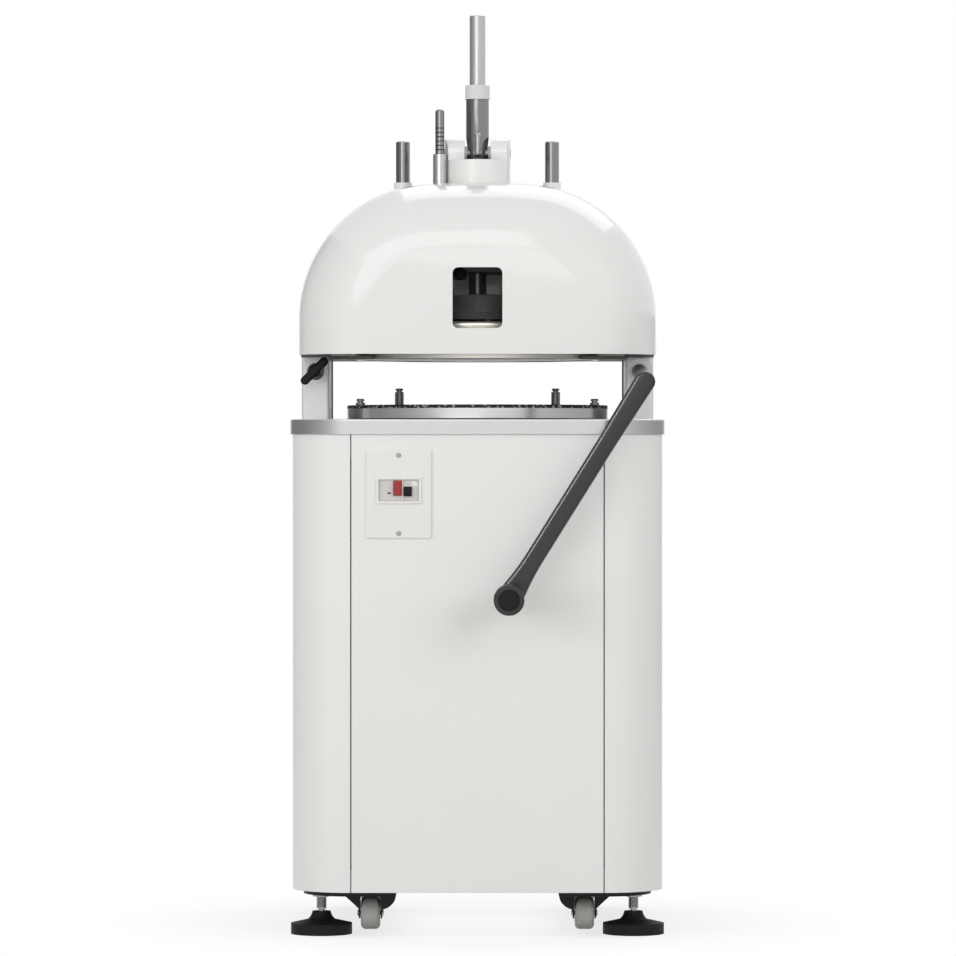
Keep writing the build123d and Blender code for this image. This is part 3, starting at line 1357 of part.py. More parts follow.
# Lever: a forked socket on the shaft, a collar, the hand tube and its clamp bolt
with BuildPart() as lever_socket:
    with BuildSketch(facing(pivot_y, 0, PIVOT_Z)):
        with BuildLine():
            Polyline(
                (0, 0),
                (SOCKET_FOOT_R, 0),
                (SOCKET_R, SOCKET_CONE_TOP - PIVOT_Z),
                (SOCKET_R, SOCKET_TOP - PIVOT_Z),
                (0, SOCKET_TOP - PIVOT_Z),
                close=True,
            )
        make_face()
    revolve(axis=Axis((0, AXIS_Y + pivot_y, 0), (0, 0, 1)))
    with BuildSketch(across(-SOCKET_HUB / 2, pivot_y, PIVOT_Z)):
        Circle(SOCKET_HUB_R)
    extrude(amount=SOCKET_HUB)
    with BuildSketch(facing(pivot_y - SOCKET_R, 0, PIVOT_Z)):
        with Locations((0, SECTOR_HUB_R / 2 - SOCKET_HUB_R / 2)):
            Rectangle(SOCKET_SLOT, SECTOR_HUB_R + SOCKET_HUB_R + 2.0)
    extrude(amount=-2 * SOCKET_R, mode=Mode.SUBTRACT)
    with BuildSketch(level(BOLT_FOOT, 0, pivot_y)):
        with Locations((0, -SOCKET_R)):
            Rectangle(SOCKET_SLOT + 4.0, 5 * BOLT_R)
        with Locations((0, -SOCKET_R + 4 * BOLT_R)):
            Rectangle(SOCKET_SLOT, 6.4 * BOLT_R, mode=Mode.SUBTRACT)
    extrude(amount=-1.6 * BOLT_R)
    with BuildSketch(across(-SOCKET_HUB / 2, pivot_y, PIVOT_Z)):
        Circle(PIVOT_SHAFT_R)
    extrude(amount=SOCKET_HUB, mode=Mode.SUBTRACT)
    with BuildSketch(level(LEVER_TUBE_FOOT, 0, pivot_y)):
        Circle(LEVER_TUBE_R)
    extrude(amount=SOCKET_TOP - LEVER_TUBE_FOOT, mode=Mode.SUBTRACT)
keep(lever_socket, "lever_socket")

with BuildPart() as lever_collar:
    with BuildSketch(level(SOCKET_TOP, 0, pivot_y)):
        Circle(COLLAR_R)
        Circle(LEVER_TUBE_R, mode=Mode.SUBTRACT)
    extrude(amount=COLLAR_HEIGHT)
    fillet(lever_collar.edges().group_by(Axis.Z)[-1].sort_by(SortBy.RADIUS)[-1], 2.0)
keep(lever_collar, "lever_collar")

with BuildPart() as lever_tube:
    with BuildSketch(level(LEVER_TUBE_FOOT, 0, pivot_y)):
        Circle(LEVER_TUBE_R)
    extrude(amount=LEVER_TOP - LEVER_TUBE_FOOT)
    fillet(lever_tube.edges().sort_by(Axis.Z)[-1], 2.0)
    with BuildSketch(level(LEVER_TUBE_FOOT, 0, pivot_y)):
        Circle(LEVER_TUBE_R - LEVER_TUBE_WALL)
    extrude(amount=LEVER_TOP - LEVER_TUBE_FOOT - 2 * LEVER_TUBE_WALL, mode=Mode.SUBTRACT)
keep(lever_tube, "lever_tube")

bolt_y = pivot_y - SOCKET_R - BOLT_HEAD_R - 0.4
with BuildPart() as lever_bolt:
    with BuildSketch(level(BOLT_FOOT, 0, bolt_y)):
        Circle(BOLT_R)
    extrude(amount=BOLT_TOP - BOLT_HEAD_R - BOLT_FOOT)
    with BuildSketch(level(BOLT_TOP - BOLT_HEAD_R, 0, bolt_y)):
        Circle(BOLT_HEAD_R)
    extrude(amount=BOLT_HEAD_R)
    fillet(lever_bolt.edges().sort_by(Axis.Z)[-1], 0.7 * BOLT_HEAD_R)
keep(lever_bolt, "lever_bolt")
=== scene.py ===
"""Looks of the dough divider rounder: finishes for its solids, its small fittings, and the studio.

Metres, +Z up, the operator stands at -Y. Sizes in the classes are millimetres, as on a drawing.
"""

import logging
import math
from dataclasses import dataclass
from enum import Enum
from typing import Callable, Iterable, Optional, Sequence, Union

import bmesh
import bpy
from mathutils import Matrix, Vector


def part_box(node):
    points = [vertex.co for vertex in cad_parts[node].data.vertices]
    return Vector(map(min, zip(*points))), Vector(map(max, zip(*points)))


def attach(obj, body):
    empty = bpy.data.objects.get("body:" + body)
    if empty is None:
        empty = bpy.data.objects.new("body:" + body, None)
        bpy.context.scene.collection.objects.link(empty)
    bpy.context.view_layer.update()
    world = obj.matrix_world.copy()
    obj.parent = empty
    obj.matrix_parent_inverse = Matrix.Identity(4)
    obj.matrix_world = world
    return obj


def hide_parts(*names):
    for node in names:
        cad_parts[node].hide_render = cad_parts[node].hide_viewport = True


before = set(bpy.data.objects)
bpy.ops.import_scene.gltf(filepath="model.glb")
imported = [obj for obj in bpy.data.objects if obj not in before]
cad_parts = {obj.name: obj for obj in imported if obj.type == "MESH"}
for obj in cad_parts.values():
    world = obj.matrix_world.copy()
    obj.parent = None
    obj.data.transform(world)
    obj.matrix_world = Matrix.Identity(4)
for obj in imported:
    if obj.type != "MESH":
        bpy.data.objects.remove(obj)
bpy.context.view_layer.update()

MM = 0.001
AXIS_Y = 56.0  # the rounding axis stands this far behind the middle of the outline
QUARTER = math.pi / 2
CREASE = math.radians(32.0)  # edges that bend further than this stay sharp
WELD = 1e-6  # vertices nearer than this, in metres, are one
LOG = logging.getLogger("dough_divider_rounder")

Tree = bpy.types.NodeTree
Socket = bpy.types.NodeSocket
Value = Union[float, Sequence[float], Socket]
Colour = Union[str, Socket]
Point = tuple[float, float]
Place = tuple[float, float, float]
Loop = list[bmesh.types.BMVert]


def linear(colour: str) -> tuple[float, float, float, float]:
    """Turns an sRGB hex colour into linear light.

    Args:
        colour: Six hex digits after a hash sign.

    Returns:
        Red, green and blue in linear light, and an alpha of one.
    """
    parts = [int(colour[n : n + 2], 16) / 255 for n in (1, 3, 5)]
    light = [p / 12.92 if p <= 0.04045 else ((p + 0.055) / 1.055) ** 2.4 for p in parts]
    return (light[0], light[1], light[2], 1.0)


def add_node(
    tree: Tree,
    kind: str,
    inputs: Optional[dict[Union[str, int], Value]] = None,
    **settings: object,
) -> bpy.types.NodeOutputs:
    """Adds one node with its settings and links.

    Args:
        tree: The node tree that gets the node.
        kind: Blender's name for the node type.
        inputs: What each input socket holds: a number, a colour, or another node's output.
        settings: The node's own properties.

    Returns:
        The new node's outputs.
    """
    node = tree.nodes.new(kind)
    for name, setting in settings.items():
        setattr(node, name, setting)
    for name, value in (inputs or {}).items():
        if isinstance(value, Socket):
            tree.links.new(value, node.inputs[name])
        else:
            node.inputs[name].default_value = value
    return node.outputs


def calc(tree: Tree, operation: str, first: Value, second: Value) -> Socket:
    """Works out one step of arithmetic on two values."""
    return add_node(tree, "ShaderNodeMath", {0: first, 1: second}, operation=operation)[0]


def mixed(tree: Tree, share: Value, low: Value, high: Value) -> Socket:
    """Mixes two plain values by a share."""
    values = {"Factor": share, "A": low, "B": high}
    return add_node(tree, "ShaderNodeMix", values, data_type="FLOAT")[0]


def blend(tree: Tree, share: Value, under: Colour, over: Colour) -> Socket:
    """Mixes two colours, each a hex value or another node's output, by a share."""
    first, second = (linear(c) if isinstance(c, str) else c for c in (under, over))
    colours = {"Factor": share, 6: first, 7: second}
    return add_node(tree, "ShaderNodeMix", colours, data_type="RGBA")[2]


def spread(
    tree: Tree,
    value: Socket,
    onto: tuple[Value, Value],
    span: Point = (0.0, 1.0),
    **settings: object,
) -> Socket:
    """Carries a value over from one span onto another.

    Args:
        tree: The node tree.
        value: What is carried over.
        onto: What the ends of the span become.
        span: The ends of the span.
        settings: The node's own properties.

    Returns:
        The new value.
    """
    ends = {"From Min": span[0], "From Max": span[1], "To Min": onto[0], "To Max": onto[1]}
    return add_node(tree, "ShaderNodeMapRange", {"Value": value, **ends}, **settings)["Result"]


def along(tree: Tree, spot: Socket, axis: str) -> Socket:
    """Gives how far a spot lies along one axis."""
    return add_node(tree, "ShaderNodeSeparateXYZ", {0: spot})[axis]


def cleared(owner: Union[bpy.types.Material, bpy.types.World]) -> Tree:
    """Gives the emptied node tree of a material or a world."""
    owner.use_nodes = True
    owner.node_tree.nodes.clear()
    return owner.node_tree


def put(name: str, data: bpy.types.ID) -> bpy.types.Object:
    """Puts a new object with its data into the scene."""
    made = bpy.data.objects.new(name, data)
    bpy.context.scene.collection.objects.link(made)
    return made


def place(x: float, y: float, z: float) -> Vector:
    """Gives a point in metres from millimetres counted from the rounding axis."""
    return Vector((x, y + AXIS_Y, z)) * MM


def arc(centre: Point, radius: float, start: float, stop: float, steps: int) -> list[Point]:
    """Draws an arc from one angle to another, both in radians."""
    angles = [start + (stop - start) * n / steps for n in range(steps + 1)]
    return [(centre[0] + radius * math.cos(a), centre[1] + radius * math.sin(a)) for a in angles]


def circle(radius: float, steps: int, centre: Point = (0.0, 0.0)) -> list[Point]:
    """Draws a circle, anticlockwise."""
    return arc(centre, radius, 0.0, math.tau, steps)[:-1]


def rounded(width: float, height: float, radius: float, steps: int = 5) -> list[Point]:
    """Draws a rectangle with rounded corners, anticlockwise from its lower right.

    Args:
        width: Its width.
        height: Its height.
        radius: Radius of its corners.
        steps: Facets of each corner.

    Returns:
        The outline's corners.
    """
    points: list[Point] = []
    for turn, (side, rise) in enumerate(((1, -1), (1, 1), (-1, 1), (-1, -1))):
        centre = (side * (width / 2 - radius), rise * (height / 2 - radius))
        points += arc(centre, radius, (turn - 1) * QUARTER, turn * QUARTER, steps)
    return points


def profile(shares: Iterable[Point], radius: float, height: float) -> list[Point]:
    """Gives the radii and heights of a profile drawn in shares of the largest ones."""
    return [(r * radius, h * height) for r, h in shares]


class Lay(Enum):
    """How tool marks run: their fineness along X, Y and Z against the grain size."""

    EVEN = (1.0, 1.0, 1.0)
    ALONG_X = (0.03, 1.0, 1.0)
    ALONG_Z = (1.0, 1.0, 0.03)
    ROUND_Z = (0.03, 0.03, 1.0)


class Facing(Enum):
    """Which way the local Z axis of a fitting looks."""

    FRONT = (90.0, "X")
    REAR = (-90.0, "X")
    RIGHT = (90.0, "Y")
    LEFT = (-90.0, "Y")
    UP = (0.0, "X")

    def at(self, point: Vector) -> Matrix:
        """Gives the matrix of a fitting that sits at a point and looks this way."""
        degrees, axis = self.value
        return Matrix.Translation(point) @ Matrix.Rotation(math.radians(degrees), 4, axis)


SIDES = ((-1, Facing.LEFT), (1, Facing.RIGHT))


@dataclass(frozen=True)
class Finish:
    """A surface as it was made: two near tones, its gloss, and the grain that breaks it up.

    The grain is noise of a real size in millimetres, stretched by the lay of the tool marks.
    """

    name: str
    tone: str
    shade: str
    gloss: Point
    grain_mm: float
    relief_mm: float
    lay: Lay = Lay.EVEN
    metallic: float = 0.0
    coat: float = 0.0
    coat_roughness: float = 0.1
    specular: float = 0.5
    edge_mm: float = 0.8
    # Tone of a highlight painted along the edges; None paints none.
    edge_highlight_tone: Optional[str] = None
    edge_bend: Point = (0.985, 0.9)
    edge_highlight_share: float = 0.7

    def material(self) -> bpy.types.Material:
        """Builds the material at its first use and hands out the same one afterwards.

        Returns:
            The material.
        """
        known = bpy.data.materials.get(self.name)
        if known is not None:
            return known
        made = bpy.data.materials.new(self.name)
        tree = cleared(made)
        spot = add_node(tree, "ShaderNodeTexCoord")["Object"]
        tint, height = self.grain(tree, spot)
        edge = add_node(tree, "ShaderNodeBevel", {"Radius": self.edge_mm * MM}, samples=4)
        softened = edge["Normal"]
        colour = self.colour(tree, spot, tint)
        # Paints a highlight along the edges in the edge tone.
        if self.edge_highlight_tone is not None:
            colour = self.edge_highlighted(tree, colour, softened)
        relief = {"Strength": 1.0, "Distance": self.relief_mm * MM}
        bump = add_node(tree, "ShaderNodeBump", {"Height": height, "Normal": softened, **relief})
        surface = {
            "Base Color": colour,
            "Roughness": spread(tree, tint, self.gloss),
            "Normal": bump["Normal"],
            "Metallic": self.metallic,
            "Coat Weight": self.coat,
            "Coat Roughness": self.coat_roughness,
            "Specular IOR Level": self.specular,
        }
        shader = add_node(tree, "ShaderNodeBsdfPrincipled", surface)
        add_node(tree, "ShaderNodeOutputMaterial", {"Surface": shader["BSDF"]})
        return made

    def noise(self, tree: Tree, spot: Socket, size_mm: float, detail: float, lay: Lay) -> Socket:
        """Draws noise of a real size.

        Args:
            tree: The material's node tree.
            spot: The place on the surface, in metres.
            size_mm: Size of its grains.
            detail: How many finer layers it has.
            lay: How the grains are drawn out.

        Returns:
            The noise, from zero to one.
        """
        scale = [share / (size_mm * MM) for share in lay.value]
        grid = add_node(tree, "ShaderNodeMapping", {"Vector": spot, "Scale": scale})
        inputs = {"Vector": grid["Vector"], "Scale": 1.0, "Detail": detail}
        return add_node(tree, "ShaderNodeTexNoise", inputs)["Fac"]

    def grain(self, tree: Tree, spot: Socket) -> tuple[Socket, Socket]:
        """Draws the grain.

        Args:
            tree: The material's node tree.
            spot: The place on the surface, in metres.

        Returns:
            How far the tone leans to its shade, and the height of the surface.
        """
        grain = self.noise(tree, spot, self.grain_mm, 3.0, self.lay)
        return grain, grain

    def colour(self, tree: Tree, spot: Socket, tint: Socket) -> Socket:
        """Mixes the two tones by the grain.

        Args:
            tree: The material's node tree.
            spot: The place on the surface, in metres.
            tint: How far the tone leans to its shade.

        Returns:
            The colour.
        """
        return blend(tree, tint, self.tone, self.shade)

    def edge_highlighted(self, tree: Tree, colour: Socket, softened: Socket) -> Socket:
        """Paints a highlight in the edge tone where the softened normal leaves the true one.

        Args:
            tree: The material's node tree.
            colour: The colour so far.
            softened: The normal with rounded edges.

        Returns:
            The colour with a painted highlight along its edges.
        """
        true = add_node(tree, "ShaderNodeNewGeometry")["Normal"]
        normals = {0: softened, 1: true}
        bent = add_node(tree, "ShaderNodeVectorMath", normals, operation="DOT_PRODUCT")
        highlit = spread(tree, bent["Value"], (0.0, self.edge_highlight_share), self.edge_bend)
        return blend(tree, highlit, colour, self.edge_highlight_tone)


@dataclass(frozen=True)
class CoatedSheet(Finish):
    """Stoved powder or enamel on sheet: a fine orange peel on slow, faint waves of the sheet."""

    wave_mm: float = 140.0
    wave_share: float = 0.5

    def grain(self, tree: Tree, spot: Socket) -> tuple[Socket, Socket]:
        """Adds the sheet's slow waves under the orange peel."""
        peel, _ = super().grain(tree, spot)
        wave = self.noise(tree, spot, self.wave_mm, 1.0, self.lay)
        return wave, mixed(tree, self.wave_share, peel, wave)


@dataclass(frozen=True)
class CutMetal(Finish):
    """Brushed, ground or turned metal: long fine lines that spread the highlight across them."""

    metallic: float = 1.0
    cloud_mm: float = 60.0
    cloud_share: float = 0.35

    def grain(self, tree: Tree, spot: Socket) -> tuple[Socket, Socket]:
        """Lays the cut lines over faint clouds that handling leaves on bare metal."""
        lines, height = super().grain(tree, spot)
        cloud = self.noise(tree, spot, self.cloud_mm, 2.0, Lay.EVEN)
        return mixed(tree, self.cloud_share, lines, cloud), height


@dataclass(frozen=True)
class CastMetal(Finish):
    """Sand-cast metal under thin paint: a pebbled skin of small round grains."""

    dark_below_mm: float = 0.0
    dark_tone: str = "#000000"

    def grain(self, tree: Tree, spot: Socket) -> tuple[Socket, Socket]:
        """Draws the sand's round grains as cells."""
        tint, _ = super().grain(tree, spot)
        inputs = {"Vector": spot, "Scale": 1.0 / (self.grain_mm * MM)}
        cells = add_node(tree, "ShaderNodeTexVoronoi", inputs, feature="SMOOTH_F1")
        return tint, cells["Distance"]

    def colour(self, tree: Tree, spot: Socket, tint: Socket) -> Socket:
        """Paints what lies below a height in the dark tone."""
        plain = super().colour(tree, spot, tint)
        if not self.dark_below_mm:
            return plain
        low = calc(tree, "LESS_THAN", along(tree, spot, "Z"), self.dark_below_mm * MM)
        return blend(tree, low, plain, self.dark_tone)


@dataclass(frozen=True)
class Graduated(CutMetal):
    """Turned rod with filled graduation grooves."""

    mark_top_mm: float = 0.0
    mark_mm: float = 1.0
    pitch_mm: float = 10.0
    marks: int = 1
    mark_tone: str = "#000000"

    def colour(self, tree: Tree, spot: Socket, tint: Socket) -> Socket:
        """Fills the grooves, counted down from the top one."""
        plain = super().colour(tree, spot, tint)
        top = (self.mark_top_mm + self.mark_mm) * MM
        depth = calc(tree, "SUBTRACT", top, along(tree, spot, "Z"))
        row = calc(tree, "FLOORED_MODULO", depth, self.pitch_mm * MM)
        filled = calc(tree, "LESS_THAN", row, self.mark_mm * MM)
        begun = calc(tree, "GREATER_THAN", depth, 0.0)
        ended = calc(tree, "LESS_THAN", depth, self.marks * self.pitch_mm * MM)
        within = calc(tree, "MULTIPLY", begun, ended)
        return blend(tree, calc(tree, "MULTIPLY", within, filled), plain, self.mark_tone)


@dataclass(frozen=True)
class Speckled(Finish):
    """Pressed laminate or filled rubber: a dark ground with pale chips scattered in it."""

    chip_mm: float = 4.0
    chip_tone: str = "#8A8A86"
    chip_span: Point = (0.3, 0.45)

    def colour(self, tree: Tree, spot: Socket, tint: Socket) -> Socket:
        """Scatters the chips over the ground."""
        ground = super().colour(tree, spot, tint)
        inputs = {"Vector": spot, "Scale": 1.0 / (self.chip_mm * MM)}
        chips = add_node(tree, "ShaderNodeTexVoronoi", inputs, feature="F1")
        shown = spread(tree, chips["Distance"], (1.0, 0.0), self.chip_span)
        return blend(tree, shown, ground, self.chip_tone)


# Stoved polyester powder on sheet steel: an even satin white. Real orange peel is about 1.5 mm
# across, too fine for this frame, so it is drawn at 4 mm.
POWDER_COAT = CoatedSheet(
    "powder_coated_sheet_white", "#E8E8E6", "#E5E5E3", (0.38, 0.46), 4.0, 0.012, edge_mm=1.2
)
# Sprayed and stoved gloss enamel on spun sheet: a clear wet film with soft, slightly wavy lights.
HOOD_ENAMEL = CoatedSheet(
    "stoved_gloss_enamel_white", "#E7E7E5", "#E6E6E4", (0.24, 0.28), 9.0, 0.006, coat=0.85,
    coat_roughness=0.04, specular=0.25, edge_mm=1.0, wave_mm=180.0, wave_share=0.8,
)
# Brushed stainless sheet: lines along the rim. Brush lines are 0.1 mm, drawn 2.5 mm wide to show.
BRUSHED_RIM = CutMetal(
    "brushed_stainless_sheet", "#CCCDCC", "#C3C4C3", (0.24, 0.34), 2.5, 0.008, lay=Lay.ALONG_X,
    edge_mm=1.0,
)
# Turned stainless plate: lines run round the disc's edge, drawn 2 mm wide to show.
TURNED_DISC = CutMetal(
    "turned_stainless_plate", "#DEDFDE", "#C9CAC9", (0.18, 0.32), 2.0, 0.012, lay=Lay.ROUND_Z
)
# Ground guide rod, hard-chromed and oiled: a grey mirror with faint rings drawn 2 mm apart.
CHROMED_ROD = CutMetal(
    "ground_chromed_rod", "#878888", "#848585", (0.08, 0.14), 2.0, 0.004, lay=Lay.ROUND_Z,
    edge_mm=0.5,
)
# Plain turned steel, oiled: darker than stainless, rings of the tool drawn 1.6 mm apart.
TURNED_STEEL = CutMetal(
    "turned_carbon_steel", "#8E8F90", "#777879", (0.26, 0.4), 1.6, 0.012, lay=Lay.ROUND_Z
)
# Scale rod, turned and dulled, its graduation grooves filled with dark paint.
SCALE_STEEL = Graduated(
    "turned_graduated_steel", "#868787", "#8C8D8D", (0.18, 0.26), 1.6, 0.01, lay=Lay.ROUND_Z,
    edge_mm=0.3, mark_top_mm=1402.0, mark_mm=1.6, pitch_mm=7.6, marks=10, mark_tone="#202020",
)
# Turned steel that was chemically blackened: grey, half bright.
BLACKENED_STEEL = CutMetal(
    "turned_blackened_steel", "#8C8C8C", "#7E7E7E", (0.1, 0.18), 2.2, 0.006, lay=Lay.ROUND_Z
)
# Zinc-plated screw steel: pale and slightly cloudy.
ZINC_PLATE = CutMetal(
    "zinc_plated_steel", "#B9BABA", "#9C9D9E", (0.28, 0.42), 3.0, 0.01, cloud_mm=9.0
)
# Aluminium tube, bead-blasted and anodised: a flat pale grey, its draw lines drawn 3 mm wide.
ANODISED_TUBE = CutMetal(
    "blasted_anodised_aluminium", "#BFBFBF", "#B5B5B5", (0.26, 0.34), 3.0, 0.01, lay=Lay.ALONG_Z,
    metallic=0.8,
)
# Turned aluminium of the scale's sleeve: brighter than the tube, tool rings drawn 1.6 mm apart.
TURNED_ALUMINIUM = CutMetal(
    "turned_aluminium_sleeve", "#C6C6C6", "#C4C4C4", (0.18, 0.26), 1.6, 0.008, lay=Lay.ROUND_Z,
    edge_mm=0.4,
)
# Drawn steel box with a sprayed silver lacquer: flakes too fine to see give a soft grey sheen.
SILVER_LACQUER = CoatedSheet(
    "silver_lacquered_steel", "#D8DAD9", "#DADCDB", (0.36, 0.44), 4.0, 0.01, metallic=0.3,
    edge_mm=1.5,
)
# Knife strip and ring, electropolished stainless: bright and a little warm, with a faint cloud.
POLISHED_STAINLESS = CutMetal(
    "electropolished_stainless", "#F6F2EA", "#EEEAE2", (0.3, 0.4), 6.0, 0.006, lay=Lay.ROUND_Z
)
# Milled aluminium casting: pale, with pores of the sand mould on its skin.
CAST_ALUMINIUM = CastMetal(
    "sand_cast_aluminium", "#B5B6B7", "#A2A3A4", (0.38, 0.5), 2.2, 0.05, metallic=1.0
)
# Grey cast iron under machine paint: matt, pebbled; its tone is raised near white as painted light,
# making up for the shade inside the hood; the flange below the hub is left black.
CARRIER_CASTING = CastMetal(
    "painted_cast_iron_carrier", "#E6E6E2", "#D8D8D4", (0.5, 0.6), 2.5, 0.06, dark_below_mm=1076.6,
    dark_tone="#2A2A29",
)
# Grey cast iron under machine paint, as the frame and the motor have it.
MACHINE_PAINT = CastMetal(
    "painted_cast_iron_grey", "#7B7E82", "#6E7175", (0.42, 0.54), 2.5, 0.05
)
# Satin black stoving paint on steel, with a painted grey highlight along its edges.
BLACK_PAINT = CoatedSheet(
    "satin_black_stoving_paint", "#1A1A19", "#131312", (0.4, 0.52), 3.0, 0.02, specular=0.25,
    edge_highlight_tone="#3A3A38",
)
# Black enamel on the forged lever: satin, with one long light down its rounded edge.
LEVER_COAT = CoatedSheet(
    "black_enamelled_forging", "#232323", "#1F1F1F", (0.2, 0.26), 6.0, 0.012, edge_mm=1.5
)
# Dark grey hammer paint on plate and bosses: dull, a little olive, with a painted paler highlight
# along its edges.
DARK_PAINT = CoatedSheet(
    "dark_grey_hammer_paint", "#6C6D68", "#60615C", (0.44, 0.54), 3.0, 0.03, specular=0.3,
    edge_highlight_tone="#74746E",
)
# Moulded black polyamide: fine eroded grain of the mould, 0.4 mm, drawn at 1.6 mm to show.
BLACK_NYLON = Finish(
    "moulded_black_polyamide", "#161616", "#0F0F0F", (0.44, 0.56), 1.6, 0.03, specular=0.2
)
# Moulded dark polyamide of the grip, paler than the cap in its end.
GRIP_NYLON = Finish(
    "moulded_dark_grey_polyamide", "#3A3A39", "#333332", (0.42, 0.52), 1.6, 0.03, specular=0.25
)
# Moulded black rubber of the foot pads: matt, a little dusty.
BLACK_RUBBER = Finish(
    "moulded_black_rubber", "#191918", "#121211", (0.5, 0.66), 5.0, 0.03, specular=0.2
)
# Moulded white ABS: smooth, close to the paint around it.
WHITE_ABS = Finish("moulded_white_abs", "#E7E7E5", "#E3E3E1", (0.34, 0.42), 1.8, 0.01)
# Turned white acetal of the lever's collar, its tone greyed as painted shade.
WHITE_ACETAL = Finish(
    "turned_white_acetal", "#DADAD8", "#D2D2D0", (0.4, 0.5), 2.0, 0.02, lay=Lay.ROUND_Z
)
# Moulded grey polycarbonate of the starter: smooth and a little warm.
GREY_POLYCARBONATE = Finish(
    "moulded_grey_polycarbonate", "#D2CECB", "#C8C4C1", (0.38, 0.48), 1.6, 0.02
)
# Moulded red polycarbonate of the stop button: the one strong colour.
RED_POLYCARBONATE = Finish(
    "moulded_red_polycarbonate", "#A83A38", "#942E2C", (0.34, 0.42), 1.6, 0.015, specular=0.3
)
# Grey thermoplastic rubber tread: matt, mottled by the floor.
GREY_TREAD = Finish(
    "moulded_grey_tread_rubber", "#B4B3AE", "#A5A49F", (0.5, 0.64), 9.0, 0.05
)
# Toothless black belt rubber with a cloth back: lines run round it, drawn 2 mm apart.
BELT_RUBBER = Finish(
    "calendered_belt_rubber", "#1D1D1C", "#131312", (0.6, 0.7), 2.0, 0.04, lay=Lay.ROUND_Z
)
# Pressed phenolic pad with mineral chips, 1 to 3 mm, drawn at 7 mm to show on its thin edge.
PHENOLIC_PAD = Speckled(
    "pressed_phenolic_pad", "#1E1E1C", "#0E0E0D", (0.46, 0.6), 3.0, 0.04, specular=0.3, chip_mm=7.0,
)

# Profiles of small turned heads, in shares of their radius and height
SCREW_DOME = ((1.0, 0.0), (1.0, 0.35), (0.86, 0.75), (0.66, 1.0))
RIVET_DOME = ((1.0, 0.0), (0.96, 0.3), (0.8, 0.66), (0.5, 0.92), (0.2, 1.0))
CAP_DOME = ((1.0, 0.0), (1.0, 0.5), (0.94, 0.85), (0.6, 1.0), (0.2, 1.0))


